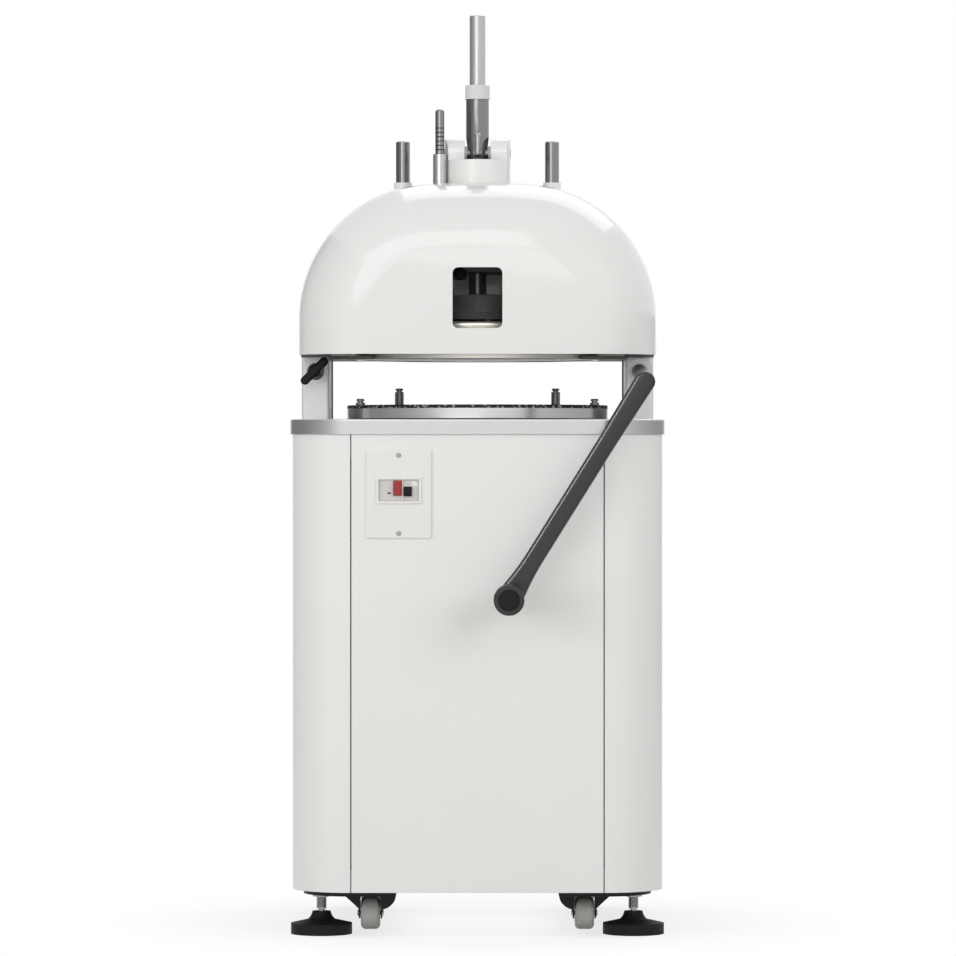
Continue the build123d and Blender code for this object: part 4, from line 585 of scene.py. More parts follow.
class Shape:
    """A mesh under construction, made as a workshop makes parts: turned, pressed, threaded."""

    def __init__(self) -> None:
        """Starts with an empty mesh."""
        self.bm = bmesh.new()

    def loop(self, points: Iterable[Sequence[float]], at: Matrix) -> Loop:
        """Adds one loop of vertices given in millimetres in a fitting's own axes."""
        return [self.bm.verts.new(at @ (Vector(p) * MM)) for p in points]

    def wall(self, low: Loop, high: Loop) -> None:
        """Joins two loops of equal count with four-sided faces."""
        for n, corner in enumerate(low):
            after = (n + 1) % len(low)
            self.bm.faces.new((corner, low[after], high[after], high[n]))

    def loft(self, loops: Sequence[Loop]) -> "Shape":
        """Joins a row of loops and closes both ends with flat faces.

        Args:
            loops: Loops of equal count, from the back to the front.

        Returns:
            The same shape.
        """
        for low, high in zip(loops, loops[1:]):
            self.wall(low, high)
        self.bm.faces.new(list(reversed(loops[0])))
        self.bm.faces.new(loops[-1])
        return self

    def turn(self, radii: Sequence[Point], at: Matrix, steps: int = 40) -> "Shape":
        """Turns a profile about the local Z axis, closed by flat ends.

        Args:
            radii: Radius and height pairs in millimetres, from the back to the front.
            at: Where the part sits and looks.
            steps: Facets round the axis.

        Returns:
            The same shape.
        """
        return self.loft([self.loop([(*p, h) for p in circle(r, steps)], at) for r, h in radii])

    def ring(
        self, radius: float, section: Sequence[Point], at: Matrix, steps: int = 96
    ) -> "Shape":
        """Turns a closed section about the local Z axis.

        Args:
            radius: How far from the axis the section starts.
            section: Its corners in millimetres, outwards and up.
            at: Where it sits and looks.
            steps: Facets round the axis.

        Returns:
            The same shape.
        """
        loops = []
        for c, s in circle(1.0, steps):
            points = [((radius + u) * c, (radius + u) * s, v) for u, v in section]
            loops.append(self.loop(points, at))
        for n in range(steps):
            self.wall(loops[n], loops[(n + 1) % steps])
        return self

    def press(self, outline: Sequence[Point], depth: float, ease: float, at: Matrix) -> "Shape":
        """Presses a plate from an outline, its front edge eased.

        Args:
            outline: Corners in millimetres, anticlockwise seen from the front.
            depth: Thickness of the plate.
            ease: How much the front edge is drawn in.
            at: Where the plate's back sits and looks.

        Returns:
            The same shape.
        """
        centre = sum((Vector(p) for p in outline), Vector((0, 0))) / len(outline)
        drawn = [Vector(p) - (Vector(p) - centre).normalized() * ease for p in outline]
        rows = ((outline, 0.0), (outline, depth - ease), (drawn, depth))
        return self.loft([self.loop([(*p, rise) for p in row], at) for row, rise in rows])

    def forge(
        self, outline: Callable[[float], Sequence[Point]], depth: float, edge: float, at: Matrix
    ) -> "Shape":
        """Forges a flat bar whose front and back edges are rounded.

        Args:
            outline: Gives the outline in millimetres, drawn in by a distance.
            depth: Thickness of the bar.
            edge: Radius of its edges.
            at: Where the bar's back sits and looks.

        Returns:
            The same shape.
        """
        rows = arc((edge, edge), edge, -QUARTER, -math.pi, 8)
        rows += [(inset, depth - rise) for inset, rise in reversed(rows)]
        return self.loft(
            [self.loop([(*p, rise) for p in outline(inset)], at) for inset, rise in rows]
        )

    def screw_head(self, radius: float, height: float, at: Matrix, sides: int = 6) -> "Shape":
        """Makes a domed screw head with a socket sunk in it.

        Args:
            radius: Radius of the head.
            height: Height of the head.
            at: Where it sits and looks.
            sides: Sides of the socket.

        Returns:
            The same shape.
        """
        steps, across = 8 * sides, 0.5 * radius * math.cos(math.pi / sides)
        turns = [math.tau * n / steps for n in range(steps)]
        reach = [across / math.cos(t % (math.tau / sides) - math.pi / sides) for t in turns]
        rows = [([r] * steps, h) for r, h in profile(SCREW_DOME, radius, height)]
        rows += [(reach, height), (reach, 0.3 * height)]
        loops = []
        for radii, h in rows:
            points = [(r * math.cos(t), r * math.sin(t), h) for r, t in zip(radii, turns)]
            loops.append(self.loop(points, at))
        return self.loft(loops)

    def thread(
        self, root: float, crest: float, pitch: float, turns: int, at: Matrix, steps: int = 28
    ) -> "Shape":
        """Winds a screw thread up the local Z axis.

        Args:
            root: Radius at the foot of the thread.
            crest: Radius at its top.
            pitch: Rise per turn.
            turns: How many turns it has.
            at: Where it starts and which way it climbs.
            steps: Facets per turn.

        Returns:
            The same shape.
        """
        section = ((root, 0.0), (crest, 0.4 * pitch), (crest, 0.6 * pitch), (root, pitch))
        rows = []
        for n in range(turns * steps + 1):
            c, s = math.cos(math.tau * n / steps), math.sin(math.tau * n / steps)
            rows.append(self.loop([(r * c, r * s, pitch * n / steps + h) for r, h in section], at))
        for low, high in zip(rows, rows[1:]):
            for n in range(len(section) - 1):
                self.bm.faces.new((low[n], high[n], high[n + 1], low[n + 1]))
        return self

    def bare(self, name: str) -> bpy.types.Object:
        """Turns the mesh into an object of the scene, not yet dressed.

        Args:
            name: The object's name.

        Returns:
            The new object.
        """
        bmesh.ops.remove_doubles(self.bm, verts=self.bm.verts, dist=WELD)
        bmesh.ops.recalc_face_normals(self.bm, faces=self.bm.faces)
        mesh = bpy.data.meshes.new(name)
        self.bm.to_mesh(mesh)
        self.bm.free()
        return put(name, mesh)

    def piece(
        self, name: str, finish: Finish, body: str, slot: str, cutters: Sequence["Shape"] = ()
    ) -> bpy.types.Object:
        """Turns the mesh into a dressed piece that rides on a body.

        Args:
            name: The piece's name.
            finish: What its surface is.
            body: The body that carries it.
            slot: The name of a material slot for it; not used.
            cutters: Shapes that are cut away from it.

        Returns:
            The new object.
        """
        made = self.bare(name)
        tools = [cutter.bare(f"{name}_cutter") for cutter in cutters]
        for tool in tools:
            trim = made.modifiers.new(tool.name, "BOOLEAN")
            trim.operation, trim.solver, trim.object = "DIFFERENCE", "EXACT", tool
        if tools:
            trimmed = made.evaluated_get(bpy.context.evaluated_depsgraph_get())
            made.data = bpy.data.meshes.new_from_object(trimmed)
            made.modifiers.clear()
        for tool in tools:
            bpy.data.objects.remove(tool)
        made.data.materials.clear()
        made.data.materials.append(finish.material())
        made.data.shade_smooth()
        made.data.set_sharp_from_angle(angle=CREASE)
        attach(made, body)
        LOG.info("fitting %s on %s: %s", name, body, finish.name)
        return made


Dressing = tuple[tuple[Finish, tuple[str, ...]], ...]


@dataclass
class SubAssembly:
    """Solids that are made and fitted together, with the finish of each."""

    finishes: Dressing = ()

    def dress(self) -> None:
        """Gives each solid its finish."""
        for finish, nodes in self.finishes:
            for node in nodes:
                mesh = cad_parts[node].data
                mesh.materials.clear()
                mesh.materials.append(finish.material())
                LOG.info("solid %s: %s", node, finish.name)

    def fit(self) -> None:
        """Adds the small fittings; a sub-assembly without any keeps this."""

    def build(self) -> None:
        """Dresses the solids and adds the fittings."""
        self.dress()
        self.fit()


@dataclass
class Cabinet(SubAssembly):
    """Sheet cabinet on its frame, with the stainless table."""

    finishes: Dressing = (
        (POWDER_COAT, ("front_panel", "left_side_panel", "right_side_panel", "rear_panel")),
        (MACHINE_PAINT, ("base_frame",)),
        (BRUSHED_RIM, ("table_top",)),
        (BLACK_NYLON, ("cable_gland",)),
    )
    screw_r: float = 4.5
    screw_height: float = 2.6
    screw_inset: float = 13.0
    screw_foot: float = 39.0
    screw_rows: int = 4

    def fit(self) -> None:
        """Screws the rear panel on."""
        low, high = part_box("rear_panel")
        inset, foot = self.screw_inset * MM, self.screw_foot * MM
        heads = Shape()
        for x in (low.x + inset, high.x - inset):
            for n in range(self.screw_rows):
                rise = (high.z - low.z - 2 * foot) * n / (self.screw_rows - 1)
                seat = Facing.REAR.at(Vector((x, high.y, low.z + foot + rise)))
                heads.screw_head(self.screw_r, self.screw_height, seat)
        heads.piece("rear_panel_screws", ZINC_PLATE, "stand", "bright_steel")


@dataclass(frozen=True)
class Trim:
    """A small plate on the starter's face: what it is, its middle, its outline and thickness."""

    name: str
    finish: Finish
    slot: str
    x: float
    z: float
    outline: Place
    depth: float
    ease: float


@dataclass
class Starter(SubAssembly):
    """Motor starter behind its plate, with the stop and start buttons."""

    finishes: Dressing = (
        (WHITE_ABS, ("switch_plate",)),
        (GREY_POLYCARBONATE, ("motor_starter",)),
        (RED_POLYCARBONATE, ("stop_button",)),
        (BLACK_NYLON, ("start_button",)),
    )
    plate_face: float = -323.0
    starter_face: float = -321.5
    screw_x: float = -135.0
    screw_z: Point = (828.0, 694.0)
    screw_r: float = 4.2
    screw_height: float = 2.0
    trims: tuple[Trim, ...] = (
        Trim(
            "starter_divider", WHITE_ABS, "white_plastic", -128.2, 768.0, (1.8, 35.6, 0.6), 2.2, 0.4
        ),
        Trim("starter_tag", WHITE_ABS, "white_plastic", -107.6, 779.0, (10.5, 8.0, 1.0), 0.6, 0.2),
        # The slot is drawn as a thin black plate on the starter's face: painted shade where the
        # slot is sunk in.
        Trim(
            "starter_slot", BLACK_NYLON, "black_plastic", -151.2, 763.2, (5.4, 2.6, 1.0), 0.6, 0.2
        ),
    )

    def fit(self) -> None:
        """Adds the plate's screws and what stands on the starter's face."""
        heads = Shape()
        for z in self.screw_z:
            seat = Facing.FRONT.at(place(self.screw_x, self.plate_face, z))
            heads.screw_head(self.screw_r, self.screw_height, seat)
        heads.piece("switch_plate_screws", ZINC_PLATE, "stand", "bright_steel")
        for trim in self.trims:
            seat = Facing.FRONT.at(place(trim.x, self.starter_face, trim.z))
            plate = Shape().press(rounded(*trim.outline), trim.depth, trim.ease, seat)
            plate.piece(trim.name, trim.finish, "stand", trim.slot)


@dataclass
class Undercarriage(SubAssembly):
    """Base plates with the levelling feet and the castors."""

    wheels: tuple[str, ...] = (
        "front_left_wheel", "front_right_wheel", "rear_left_wheel", "rear_right_wheel",
    )
    finishes: Dressing = (
        (BLACK_PAINT, ("base_plates", "castor_brackets")),
        (BLACK_RUBBER, ("foot_pads",)),
        (ZINC_PLATE, ("foot_stems",)),
        (GREY_TREAD, wheels),
    )
    foot_x: float = 270.0
    foot_y: float = -225.0
    thread_root: float = 7.9
    thread_crest: float = 8.7
    thread_pitch: float = 2.0
    thread_from: float = 44.0
    thread_turns: int = 9
    rivet_r: float = 6.5
    rivet_height: float = 3.0
    leg_outside: float = 20.0
    wing_reach: float = 44.0
    wing_drop: float = 21.0
    wing_sag: float = 0.72
    wing_bellies: Point = (0.62, 0.84)
    bracket_length: float = 46.0
    sheet: float = 2.5
    plate: float = 3.0

    def wing(self, hand: int, belly: float) -> list[Point]:
        """Draws one wing of a castor bracket seen from the front, below the bracket's plate.

        Args:
            hand: One for a wing to the right, minus one for one to the left.
            belly: How far out its curve bulges, as a share of its reach.

        Returns:
            The outline's corners.
        """
        inner, low = self.leg_outside - self.sheet, -self.wing_drop - self.sheet
        tip, heel = Vector((self.wing_reach, 0.0)), Vector((self.leg_outside - self.sheet / 2, low))
        middle = Vector((belly * self.wing_reach, -self.wing_sag * self.wing_drop))
        bow = 2 * middle - (tip + heel) / 2
        shares = [n / 10 for n in range(11)]
        curve = [tip * (1 - t) ** 2 + bow * 2 * t * (1 - t) + heel * t * t for t in shares]
        points = [(p.x, p.y) for p in reversed(curve)] + [(inner, 0.0), (inner, low)]
        return points if hand > 0 else [(-x, z) for x, z in reversed(points)]

    def wings(self) -> None:
        """Closes the wings of the brackets with their front and rear sheets."""
        webs = Shape()
        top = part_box("castor_brackets")[1].z - self.plate * MM
        for wheel in self.wheels:
            low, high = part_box(wheel)
            middle = (low + high) / 2
            outer = 1 if middle.x > 0 else -1
            for deep in (self.bracket_length / 2, self.sheet - self.bracket_length / 2):
                seat = Vector((middle.x, middle.y - (deep - self.sheet) * MM, top))
                for hand, belly in zip((outer, -outer), self.wing_bellies):
                    webs.press(self.wing(hand, belly), self.sheet, 0.0, Facing.FRONT.at(seat))
        webs.piece("castor_bracket_webs", BLACK_PAINT, "stand", "black_paint")

    def fit(self) -> None:
        """Threads the stems, closes the brackets and heads the axles."""
        self.wings()
        threads = Shape()
        for side in (-1, 1):
            at = Facing.UP.at(place(side * self.foot_x, self.foot_y, self.thread_from))
            sizes = (self.thread_root, self.thread_crest, self.thread_pitch, self.thread_turns)
            threads.thread(*sizes, at)
        threads.piece("foot_stem_threads", ZINC_PLATE, "stand", "bright_steel")
        heads = Shape()
        dome = profile(RIVET_DOME, self.rivet_r, self.rivet_height)
        for wheel in self.wheels:
            low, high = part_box(wheel)
            for side, facing in SIDES:
                seat = (low + high) / 2 + Vector((side * self.leg_outside * MM, 0.0, 0.0))
                heads.turn(dome, facing.at(seat), steps=28)
        heads.piece("castor_axle_heads", ZINC_PLATE, "stand", "bright_steel")


@dataclass
class RoundingDrive(SubAssembly):
    """Motor, belt, eccentric and idler cranks inside the cabinet, and the disc they carry."""

    finishes: Dressing = (
        (MACHINE_PAINT, ("motor", "drive_plate")),
        (TURNED_STEEL, ("motor_rotor", "eccentric_shaft", "plate_pegs")),
        (TURNED_STEEL, ("left_idler_crank", "right_idler_crank")),
        (BELT_RUBBER, ("drive_belt",)),
        (CAST_ALUMINIUM, ("driven_pulley", "disc_spider")),
        (TURNED_DISC, ("rounding_disc",)),
        (PHENOLIC_PAD, ("disc_pad",)),
    )
    disc_foot: float = 891.8
    disc_edge: float = 0.6
    disc_dish: Point = (60.0, 1.0)

    def fit(self) -> None:
        """Turns the disc down to the table, with a sharp foot."""
        low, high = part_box("rounding_disc")
        seat = Vector(((low.x + high.x) / 2, (low.y + high.y) / 2, self.disc_foot * MM))
        r, edge, height = (high.x - low.x) / 2 / MM, self.disc_edge, high.z / MM - self.disc_foot
        radii = (self.disc_dish, (r - edge, 0.0), (r, edge), (r, height))
        disc = Shape().turn(radii, Facing.UP.at(seat), steps=160)
        plate = disc.piece("rounding_plate", TURNED_DISC, "rounding_table", "stainless")
        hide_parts("rounding_disc")


@dataclass
class Head(SubAssembly):
    """Columns, portal and hood."""

    finishes: Dressing = (
        (SILVER_LACQUER, ("left_column", "right_column", "column_bushes")),
        (MACHINE_PAINT, ("head_frame",)),
        (DARK_PAINT, ("head_floor_plates",)),
        (HOOD_ENAMEL, ("hood", "guide_sleeves")),
        (TURNED_ALUMINIUM, ("scale_tube",)),
        (BLACK_PAINT, ("gas_spring_cylinders",)),
    )
    hood_width: float = 625.0
    hood_front: float = -250.0
    hood_depth: float = 500.0
    hood_foot: float = 1003.0
    hood_wall: float = 3.0
    crown_z: float = 1305.0
    crown_r: float = 1400.0
    shoulder_r: float = 236.0
    front_round: float = 120.0
    rear_round: float = 45.0
    end_inset: float = 3.0
    window: tuple[float, float, float, int] = (86.0, 105.0, 10.0, 8)
    window_z: float = 1100.0
    hole_gap: float = 0.4
    hole_foot: float = 60.0
    hole_depth: float = 90.0
    cut_reach: float = 10.0
    strip: Place = (106.0, 20.0, 1.0)
    strip_at: Place = (262.0, 60.0, 944.0)
    strip_thick: float = 3.6
    strip_ease: float = 0.4
    tab: Place = (26.0, 44.0, 5.0)
    tab_rise: float = 12.0
    tab_thick: float = 3.0
    tab_ease: float = 0.6
    beam_front: float = -79.0
    knob_x: float = -30.0
    knob_z: float = 1146.0
    knob_r: float = 11.0
    knob_stem: tuple[Point, ...] = ((4.0, 0.0), (4.0, 8.0))
    knob_head: tuple[Point, ...] = ((0.8, 9.0), (1.0, 12.0), (1.0, 24.0), (0.9, 26.5), (0.5, 27.5))

    def arch(self, inset: float, foot: float) -> list[Point]:
        """Draws the hood from the front, anticlockwise from its lower right.

        Args:
            inset: How far the outline is drawn in.
            foot: Height of its lower edge.

        Returns:
            The outline's corners in millimetres.
        """
        side = self.hood_width / 2
        centre_x, low = side - self.shoulder_r, self.crown_z - self.crown_r
        centre_z = low + math.sqrt((self.crown_r - self.shoulder_r) ** 2 - centre_x**2)
        turn = math.atan2(centre_z - low, centre_x)
        right = [(side - inset, foot + (centre_z - foot) * n / 4) for n in range(4)]
        right += arc((centre_x, centre_z), self.shoulder_r - inset, 0.0, turn, 32)
        right += arc((0.0, low), self.crown_r - inset, turn, QUARTER, 8)[1:-1]
        return right + [(0.0, self.crown_z - inset)] + [(-x, z) for x, z in reversed(right)]

    def dome(self, wall: float, foot: float) -> Shape:
        """Makes the hood's full form.

        Args:
            wall: How far it is set in.
            foot: Height of its lower edge.

        Returns:
            The form.
        """
        form, mirror = Shape(), Matrix.Scale(-1.0, 4, Vector((0.0, 1.0, 0.0)))
        at = Facing.REAR.at(place(0.0, self.hood_front, 0.0)) @ mirror
        front, rear, depth = self.front_round, self.rear_round, self.hood_depth
        rows = [(front + self.end_inset, wall)]
        rows += arc((front, front), front - wall, -QUARTER, -math.pi, 24)
        rows += arc((rear, depth - rear), rear - wall, math.pi, QUARTER, 12)
        rows.append((rear + self.end_inset, depth - wall))
        loops = []
        for inset, deep in rows:
            loops.append(form.loop([(x, z, deep) for x, z in self.arch(inset, foot)], at))
        return form.loft(loops)

    def hood(self) -> None:
        """Presses the hood over the head, with its window and the holes in its crown."""
        reach = self.cut_reach
        seat = Facing.FRONT.at(place(0.0, self.hood_front + reach, self.window_z))
        window = Shape().press(rounded(*self.window), 2 * reach, 0.0, seat)
        cutters = [self.dome(self.hood_wall, self.hood_foot - reach), window]
        for node in ("lever_block", "scale_tube", "guide_sleeves"):
            low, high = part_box(node)
            middle, half = (low + high) / 2, (high.y - low.y) / 2
            radius = half / MM + self.hole_gap
            pair = (low.x + half, high.x - half)
            for x in pair if node == "guide_sleeves" else (middle.x,):
                drill = Vector((x, middle.y, (self.crown_z - self.hole_foot) * MM))
                radii = ((radius, 0.0), (radius, self.hole_depth))
                cutters.append(Shape().turn(radii, Facing.UP.at(drill), steps=72))
        form = self.dome(0.0, self.hood_foot)
        shell = form.piece("hood_shell", HOOD_ENAMEL, "stand", "hood_enamel", cutters)
        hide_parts("hood")

    def fit(self) -> None:
        """Sets the hood on, seats black strips that paint shade on the columns' inner faces, and
        hangs the knob that the window shows.
        """
        self.hood()
        # The black strips darken the columns' inner faces as painted shade.
        strips = Shape()
        x, y, z = self.strip_at
        for side, facing in ((-1, Facing.RIGHT), (1, Facing.LEFT)):
            at = facing.at(place(side * x, y, z))
            strips.press(rounded(*self.strip), self.strip_thick, self.strip_ease, at)
        strips.piece("column_strips", BLACK_RUBBER, "stand", "black_plastic")
        at = Facing.FRONT.at(place(self.knob_x, self.beam_front, self.knob_z + self.tab_rise))
        tab = Shape().press(rounded(*self.tab), self.tab_thick, self.tab_ease, at)
        tab.piece("stop_knob_bracket", MACHINE_PAINT, "stand", "frame_paint")
        at = Facing.FRONT.at(place(self.knob_x, self.beam_front - self.tab_thick, self.knob_z))
        knob = Shape().turn([*self.knob_stem, *profile(self.knob_head, self.knob_r, 1.0)], at)
        knob.piece("stop_knob", BLACK_NYLON, "stand", "black_plastic")


@dataclass
class Press(SubAssembly):
    """Dough ring, knife basket and segmented press plate with what guides them."""

    finishes: Dressing = (
        (POLISHED_STAINLESS, ("dough_ring", "knife_basket")),
        (CAST_ALUMINIUM, ("press_segments",)),
        (CARRIER_CASTING, ("press_carrier",)),
        (CHROMED_ROD, ("guide_rods", "gas_spring_rods")),
        (TURNED_STEEL, ("rack_column",)),
        (SCALE_STEEL, ("scale_rod",)),
    )
    ring_edge: float = 0.8
    ring_wall: float = 8.0
    bead_r: float = 199.0
    bead_section: float = 7.5
    bead_foot: float = 1046.0

    def fit(self) -> None:
        """Turns the dough ring with its sharp foot, and rolls the bead on the knife basket."""
        low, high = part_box("dough_ring")
        middle = Vector(((low.x + high.x) / 2, (low.y + high.y) / 2, low.z))
        wall, edge, height = self.ring_wall, self.ring_edge, (high.z - low.z) / MM
        section = [(-wall, 0.0), (-edge, 0.0), (0.0, edge), (0.0, height), (-wall, height)]
        ring = Shape().ring((high.x - low.x) / 2 / MM, section, Facing.UP.at(middle), steps=144)
        band = ring.piece("dough_ring_band", POLISHED_STAINLESS, "press_carriage", "stainless")
        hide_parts("dough_ring")
        section = circle(self.bead_section, 20, (0.0, self.bead_section))
        bead = Shape().ring(self.bead_r, section, Facing.UP.at(place(0.0, 0.0, self.bead_foot)))
        bead.piece("knife_basket_bead", POLISHED_STAINLESS, "press_carriage", "stainless")


@dataclass
class PressLever(SubAssembly):
    """Turret with the toothed sector and the lever that swings in it."""

    finishes: Dressing = (
        (HOOD_ENAMEL, ("lever_block",)),
        (TURNED_STEEL, ("sector_shaft", "idler_gear")),
        (BLACKENED_STEEL, ("lever_socket",)),
        (WHITE_ACETAL, ("lever_collar",)),
        (ANODISED_TUBE, ("lever_tube",)),
        (ZINC_PLATE, ("lever_bolt",)),
    )
    pivot_z: float = 1360.0
    spacer_from: float = 18.6
    spacer_width: float = 4.3
    spacer_bore: float = 10.2
    spacer_wall: float = 2.8
    socket_r: float = 20.3
    socket_foot_r: float = 16.8
    socket_edge: float = 0.6
    heel: tuple[Point, ...] = ((8.0, -15.4), (12.0, -12.4), (15.0, -8.4))
    foot_from: float = -2.0
    cone: Point = (2.0, 28.0)

    def fit(self) -> None:
        """Turns the socket, closed in front and tapered to its foot, and its pivot's spacers."""
        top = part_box("lever_socket")[1].z / MM - self.pivot_z
        low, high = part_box("lever_tube")
        axis = Vector(((low.x + high.x) / 2, (low.y + high.y) / 2, self.pivot_z * MM))
        spacers = Shape()
        wall, width = self.spacer_wall, self.spacer_width
        for side, facing in SIDES:
            seat = axis + Vector((side * self.spacer_from * MM, 0.0, 0.0))
            rim = [(wall, 0.0), (wall, width), (0.0, width), (0.0, 0.0)]
            spacers.ring(self.spacer_bore, rim, facing.at(seat), steps=48)
        spacers.piece("pivot_spacers", WHITE_ACETAL, "stand", "white_plastic")
        r, foot, edge = self.socket_r, self.socket_foot_r, self.socket_edge
        neck = ((foot, self.foot_from), (foot, self.cone[0]), (r, self.cone[1]))
        radii = (*self.heel, *neck, (r, top - edge), (r - edge, top))
        socket = Shape().turn(radii, Facing.UP.at(axis), steps=64)
        turned = socket.piece(
            "lever_socket_turning", BLACKENED_STEEL, "press_lever", "machined_steel"
        )
        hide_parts("lever_socket")


@dataclass
class RoundingLever(SubAssembly):
    """Rounding lever with its grip, and the lock handle on the other column."""

    finishes: Dressing = (
        (LEVER_COAT, ("rounding_lever_arm",)),
        (DARK_PAINT, ("rounding_lever_shaft",)),
        (GRIP_NYLON, ("lever_grip",)),
        (BLACK_NYLON, ("lock_handle",)),
    )
    cap_r: float = 18.0
    cap_rise: float = 1.2
    recess: float = 1.5
    eye: Place = (284.9, -352.0, 953.5)
    lean_deg: float = 32.0
    length: float = 437.0
    thick: float = 26.0
    edge: float = 8.0
    eye_r: float = 18.0
    shank_r: float = 15.7
    foot_r: float = 24.0
    eye_taper: float = 120.0
    foot_taper: float = 85.0
    steps: int = 24

    def half_width(self, down: float) -> float:
        """Gives the arm's half width at a distance down from the eye."""
        by_eye = (self.eye_r - self.shank_r) * max(0.0, 1 - down / self.eye_taper)
        flare = max(0.0, 1 - (self.length - down) / self.foot_taper) ** 2
        return self.shank_r + by_eye + (self.foot_r - self.shank_r) * flare

    def outline(self, inset: float) -> list[Point]:
        """Draws the arm seen from the front, its eye at the origin.

        Args:
            inset: How far the outline is drawn in.

        Returns:
            The outline's corners.
        """
        points: list[Point] = []
        stations = [self.length * n / self.steps for n in range(1, self.steps)]
        for down, start, sign in ((0.0, 0.0, -1), (self.length, math.pi, 1)):
            end_r = self.half_width(down) - inset
            points += arc((0.0, -down), end_r, start, start + math.pi, self.steps)
            for at in stations if sign < 0 else reversed(stations):
                points.append((sign * (self.half_width(at) - inset), -at))
        return points

    def fit(self) -> None:
        """Forges the arm and seats the cap in the end of the grip."""
        lean = Matrix.Rotation(math.radians(-self.lean_deg), 4, "Z")
        at = Facing.FRONT.at(place(*self.eye)) @ lean
        arm = Shape().forge(self.outline, self.thick, self.edge, at)
        forging = arm.piece("rounding_lever_forging", LEVER_COAT, "rounding_lever", "lever_paint")
        forging.visible_shadow = False  # the studio's fill light leaves no shadow on the panel
        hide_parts("rounding_lever_arm")
        low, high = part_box("lever_grip")
        seat = Vector(((low.x + high.x) / 2, low.y + self.recess * MM, (low.z + high.z) / 2))
        cap = Shape().turn(profile(CAP_DOME, self.cap_r, self.cap_rise), Facing.FRONT.at(seat))
        cap.piece("grip_end_cap", BLACK_RUBBER, "rounding_lever", "black_plastic")


@dataclass(frozen=True)
class Card:
    """A card that only gloss shows: its corners in millimetres and its glow from front to rear."""

    name: str
    corners: tuple[Place, ...]
    glow: Point
    ramp: Point = (0.0, 1.0)

    @classmethod
    def side(cls, name: str, x: float, top: float, rear_glow: float, dim_at: float) -> "Card":
        """Stands a card beside the object, along its depth.

        Args:
            name: The card's name.
            x: How far to the right it stands.
            top: Its height.
            rear_glow: Its glow at the rear; it is white in front.
            dim_at: Where it has dimmed to that glow.

        Returns:
            The card.
        """
        near, far = -4500.0, 3600.0
        corners = ((x, near, 0.0), (x, far, 0.0), (x, far, top), (x, near, top))
        return cls(name, corners, (1.0, rear_glow), (near, dim_at))


@dataclass(frozen=True)
class Lamp:
    """An area lamp: where it hangs and looks in millimetres, its size in metres, its power."""

    name: str
    at: Place
    size: Point
    watts: float
    aim: Place = (0.0, 0.0, 850.0)

    def hang(self) -> bpy.types.Object:
        """Hangs the lamp.

        Returns:
            The lamp's object.
        """
        light = bpy.data.lights.new(self.name, "AREA")
        light.shape, light.energy = "RECTANGLE", self.watts
        light.size, light.size_y = self.size
        made = put(self.name, light)
        made.location = place(*self.at)
        view = place(*self.aim) - made.location
        made.rotation_euler = view.to_track_quat("-Z", "Y").to_euler()
        return made


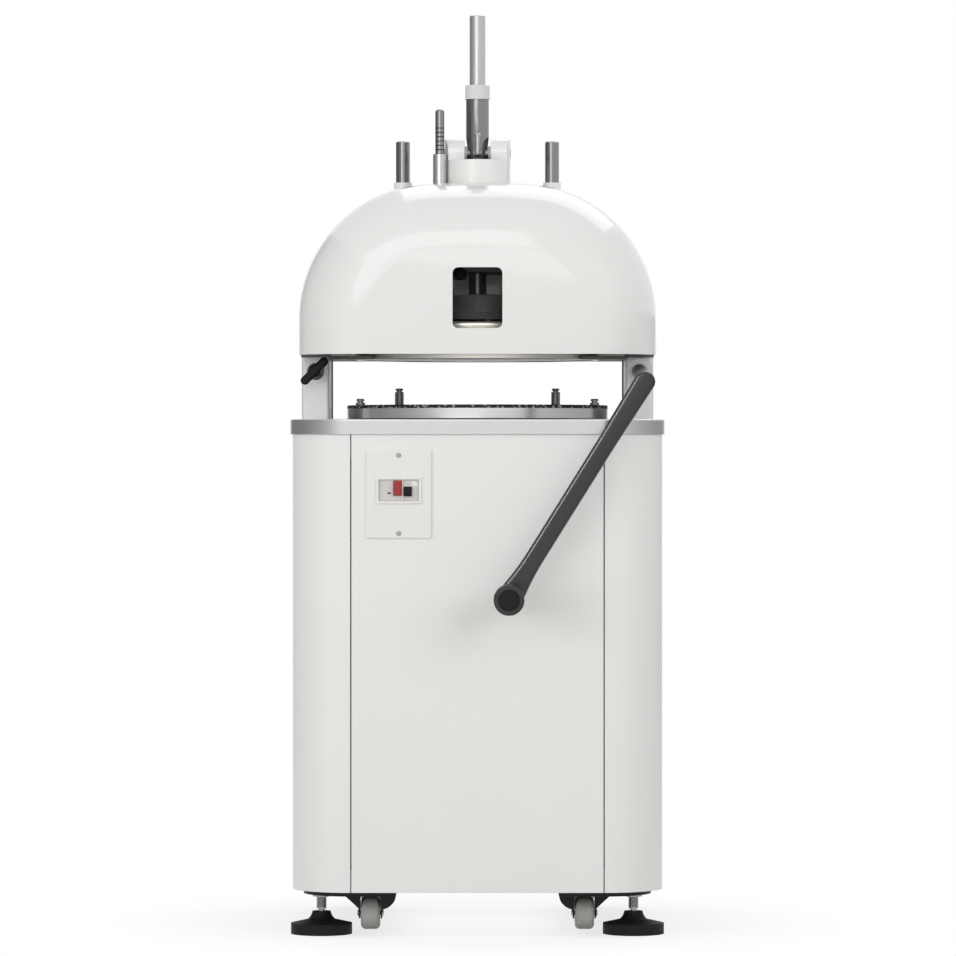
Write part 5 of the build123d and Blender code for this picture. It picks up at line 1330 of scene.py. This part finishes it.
@dataclass
class Studio:
    """White room with soft light, and the camera where the photographer stood."""

    camera_at: Place = (0.9, -9054.0, 837.0)
    tilt_deg: float = 0.3146
    focal_px: float = 5100.0
    frame_px: float = 956.0
    sensor_mm: float = 36.0
    clip_m: float = 200.0
    sky: Point = (0.82, 0.48)
    white: str = "#FFFFFF"
    floor_tone: str = "#C6C6C4"
    floor_reach: float = 30000.0
    shadow_reach: float = 420.0
    shadow_floor: float = 0.74
    open_share: float = 0.95
    cards: tuple[Card, ...] = (
        Card.side("left_card", -1900.0, 2600.0, 0.28, 800.0),
        Card.side("right_card", 1900.0, 1180.0, 0.42, 1200.0),
        Card(
            "front_card",
            (
                (236.0, -3250.0, 1230.0), (236.0, -3250.0, 1470.0), (-530.0, -3250.0, 1470.0),
                (-530.0, -3250.0, 1590.0), (236.0, -3250.0, 1590.0), (236.0, -3250.0, 3180.0),
                (-4370.0, -3250.0, 3180.0), (-4370.0, -3250.0, 1750.0),
            ),
            (2.7, 2.7),
        ),
        Card(
            "top_card",
            (
                (-700.0, 250.0, 3500.0), (2400.0, 250.0, 3500.0), (2400.0, 3500.0, 3500.0),
                (-700.0, 3500.0, 3500.0),
            ),
            (2.8, 2.8),
        ),
    )
    softboxes: tuple[Lamp, ...] = (
        Lamp("top_softbox", (900.0, -300.0, 3600.0), (2.6, 2.6), 4.0),
        Lamp("left_softbox", (-3400.0, -3200.0, 1300.0), (2.6, 2.6), 64.0),
        Lamp("right_softbox", (2700.0, -3400.0, 2100.0), (2.4, 2.4), 50.0),
    )
    strip: Lamp = Lamp(
        "lever_strip", (-1500.0, -1918.0, 1815.0), (0.3, 1.4), 40.0, (170.0, -378.0, 770.0)
    )

    def build(self) -> None:
        """Sets up the room, the lamps and the camera."""
        self.world()
        self.floor()
        for card in self.cards:
            self.card(card)
        for softbox in self.softboxes:
            softbox.hang().visible_glossy = False
        self.kicker("rounding_lever_forging")
        self.camera()
        bpy.context.scene.view_settings.view_transform = "Standard"

    def world(self) -> None:
        """Makes a white background that the metal shows too, over a softer fill for the paint."""
        world = bpy.data.worlds.new("white_room")
        tree = cleared(world)
        aim = add_node(tree, "ShaderNodeTexCoord")["Generated"]
        fill = spread(tree, along(tree, aim, "Z"), self.sky)
        strength = spread(tree, self.seen(tree), (fill, 1.0))
        inputs = {"Color": linear(self.white), "Strength": strength}
        ground = add_node(tree, "ShaderNodeBackground", inputs)
        add_node(tree, "ShaderNodeOutputWorld", {"Surface": ground["Background"]})
        bpy.context.scene.world = world

    def seen(self, tree: Tree) -> Socket:
        """Tells whether the eye, gloss or glass looks, and not the light that falls on paint."""
        path = add_node(tree, "ShaderNodeLightPath")
        first = calc(tree, "MAXIMUM", path["Is Camera Ray"], path["Is Glossy Ray"])
        return calc(tree, "MAXIMUM", first, path["Is Transmission Ray"])

    def sheet(
        self, name: str, corners: Sequence[Place], material: bpy.types.Material
    ) -> bpy.types.Object:
        """Makes one flat piece of the room.

        Args:
            name: The piece's name.
            corners: Its corners in millimetres.
            material: What it is made of.

        Returns:
            The new object.
        """
        mesh = bpy.data.meshes.new(name)
        mesh.from_pydata([place(*c) for c in corners], [], [tuple(range(len(corners)))])
        mesh.materials.append(material)
        made = put(name, mesh)
        return made

    def floor(self) -> None:
        """Lays the pale floor: white to the eye and in gloss, shaded below the object."""
        paint = bpy.data.materials.new("matt_white_floor_paint")
        tree = cleared(paint)
        near = {"Distance": self.shadow_reach * MM}
        open_sky = add_node(tree, "ShaderNodeAmbientOcclusion", near, samples=16)["AO"]
        shade = spread(tree, open_sky, (self.shadow_floor, 1.0), (0.0, self.open_share))
        inputs = {"Color": linear(self.white), "Strength": shade}
        shown = add_node(tree, "ShaderNodeEmission", inputs)["Emission"]
        inputs = {"Color": linear(self.floor_tone)}
        bounce = add_node(tree, "ShaderNodeBsdfDiffuse", inputs)["BSDF"]
        mix = add_node(tree, "ShaderNodeMixShader", {0: self.seen(tree), 1: bounce, 2: shown})
        add_node(tree, "ShaderNodeOutputMaterial", {"Surface": mix["Shader"]})
        far = self.floor_reach
        corners = [(-far, -far, 0.0), (far, -far, 0.0), (far, far, 0.0), (-far, far, 0.0)]
        self.sheet("floor", corners, paint)

    def card(self, card: Card) -> None:
        """Sets up a card that the object's gloss shows and that lights nothing.

        Args:
            card: The card.
        """
        cloth = bpy.data.materials.new(f"{card.name}_cloth")
        tree = cleared(cloth)
        spot = add_node(tree, "ShaderNodeTexCoord")["Object"]
        near, far = (place(0.0, y, 0.0).y for y in card.ramp)
        smooth = {"interpolation_type": "SMOOTHSTEP"}
        strength = spread(tree, along(tree, spot, "Y"), card.glow, (near, far), **smooth)
        glow = add_node(tree, "ShaderNodeEmission", {"Strength": strength})
        add_node(tree, "ShaderNodeOutputMaterial", {"Surface": glow["Emission"]})
        made = self.sheet(card.name, card.corners, cloth)
        made.visible_camera = made.visible_diffuse = made.visible_shadow = False

    def kicker(self, piece: str) -> None:
        """Hangs the strip light for one dark piece alone: it draws the light along its edge."""
        lit = bpy.data.collections.new(f"lit_by_{self.strip.name}")
        lit.objects.link(bpy.data.objects[piece])
        self.strip.hang().light_linking.receiver_collection = lit

    def camera(self) -> None:
        """Puts a long lens in front of the machine, a little above the table."""
        data = bpy.data.cameras.new("camera")
        data.sensor_width = self.sensor_mm
        data.lens = self.focal_px / self.frame_px * self.sensor_mm
        data.clip_end = self.clip_m
        made = put("camera", data)
        made.location = place(*self.camera_at)
        made.rotation_euler = (math.radians(90.0 - self.tilt_deg), 0.0, 0.0)
        bpy.context.scene.camera = made


def main() -> None:
    """Builds each sub-assembly and the studio."""
    logging.basicConfig(level=logging.INFO, format="%(name)s: %(message)s")
    parts = (Cabinet, Starter, Undercarriage, RoundingDrive, Head, Press, PressLever, RoundingLever)
    for part in parts:
        part().build()
    Studio().build()


if __name__ == "__main__":
    main()
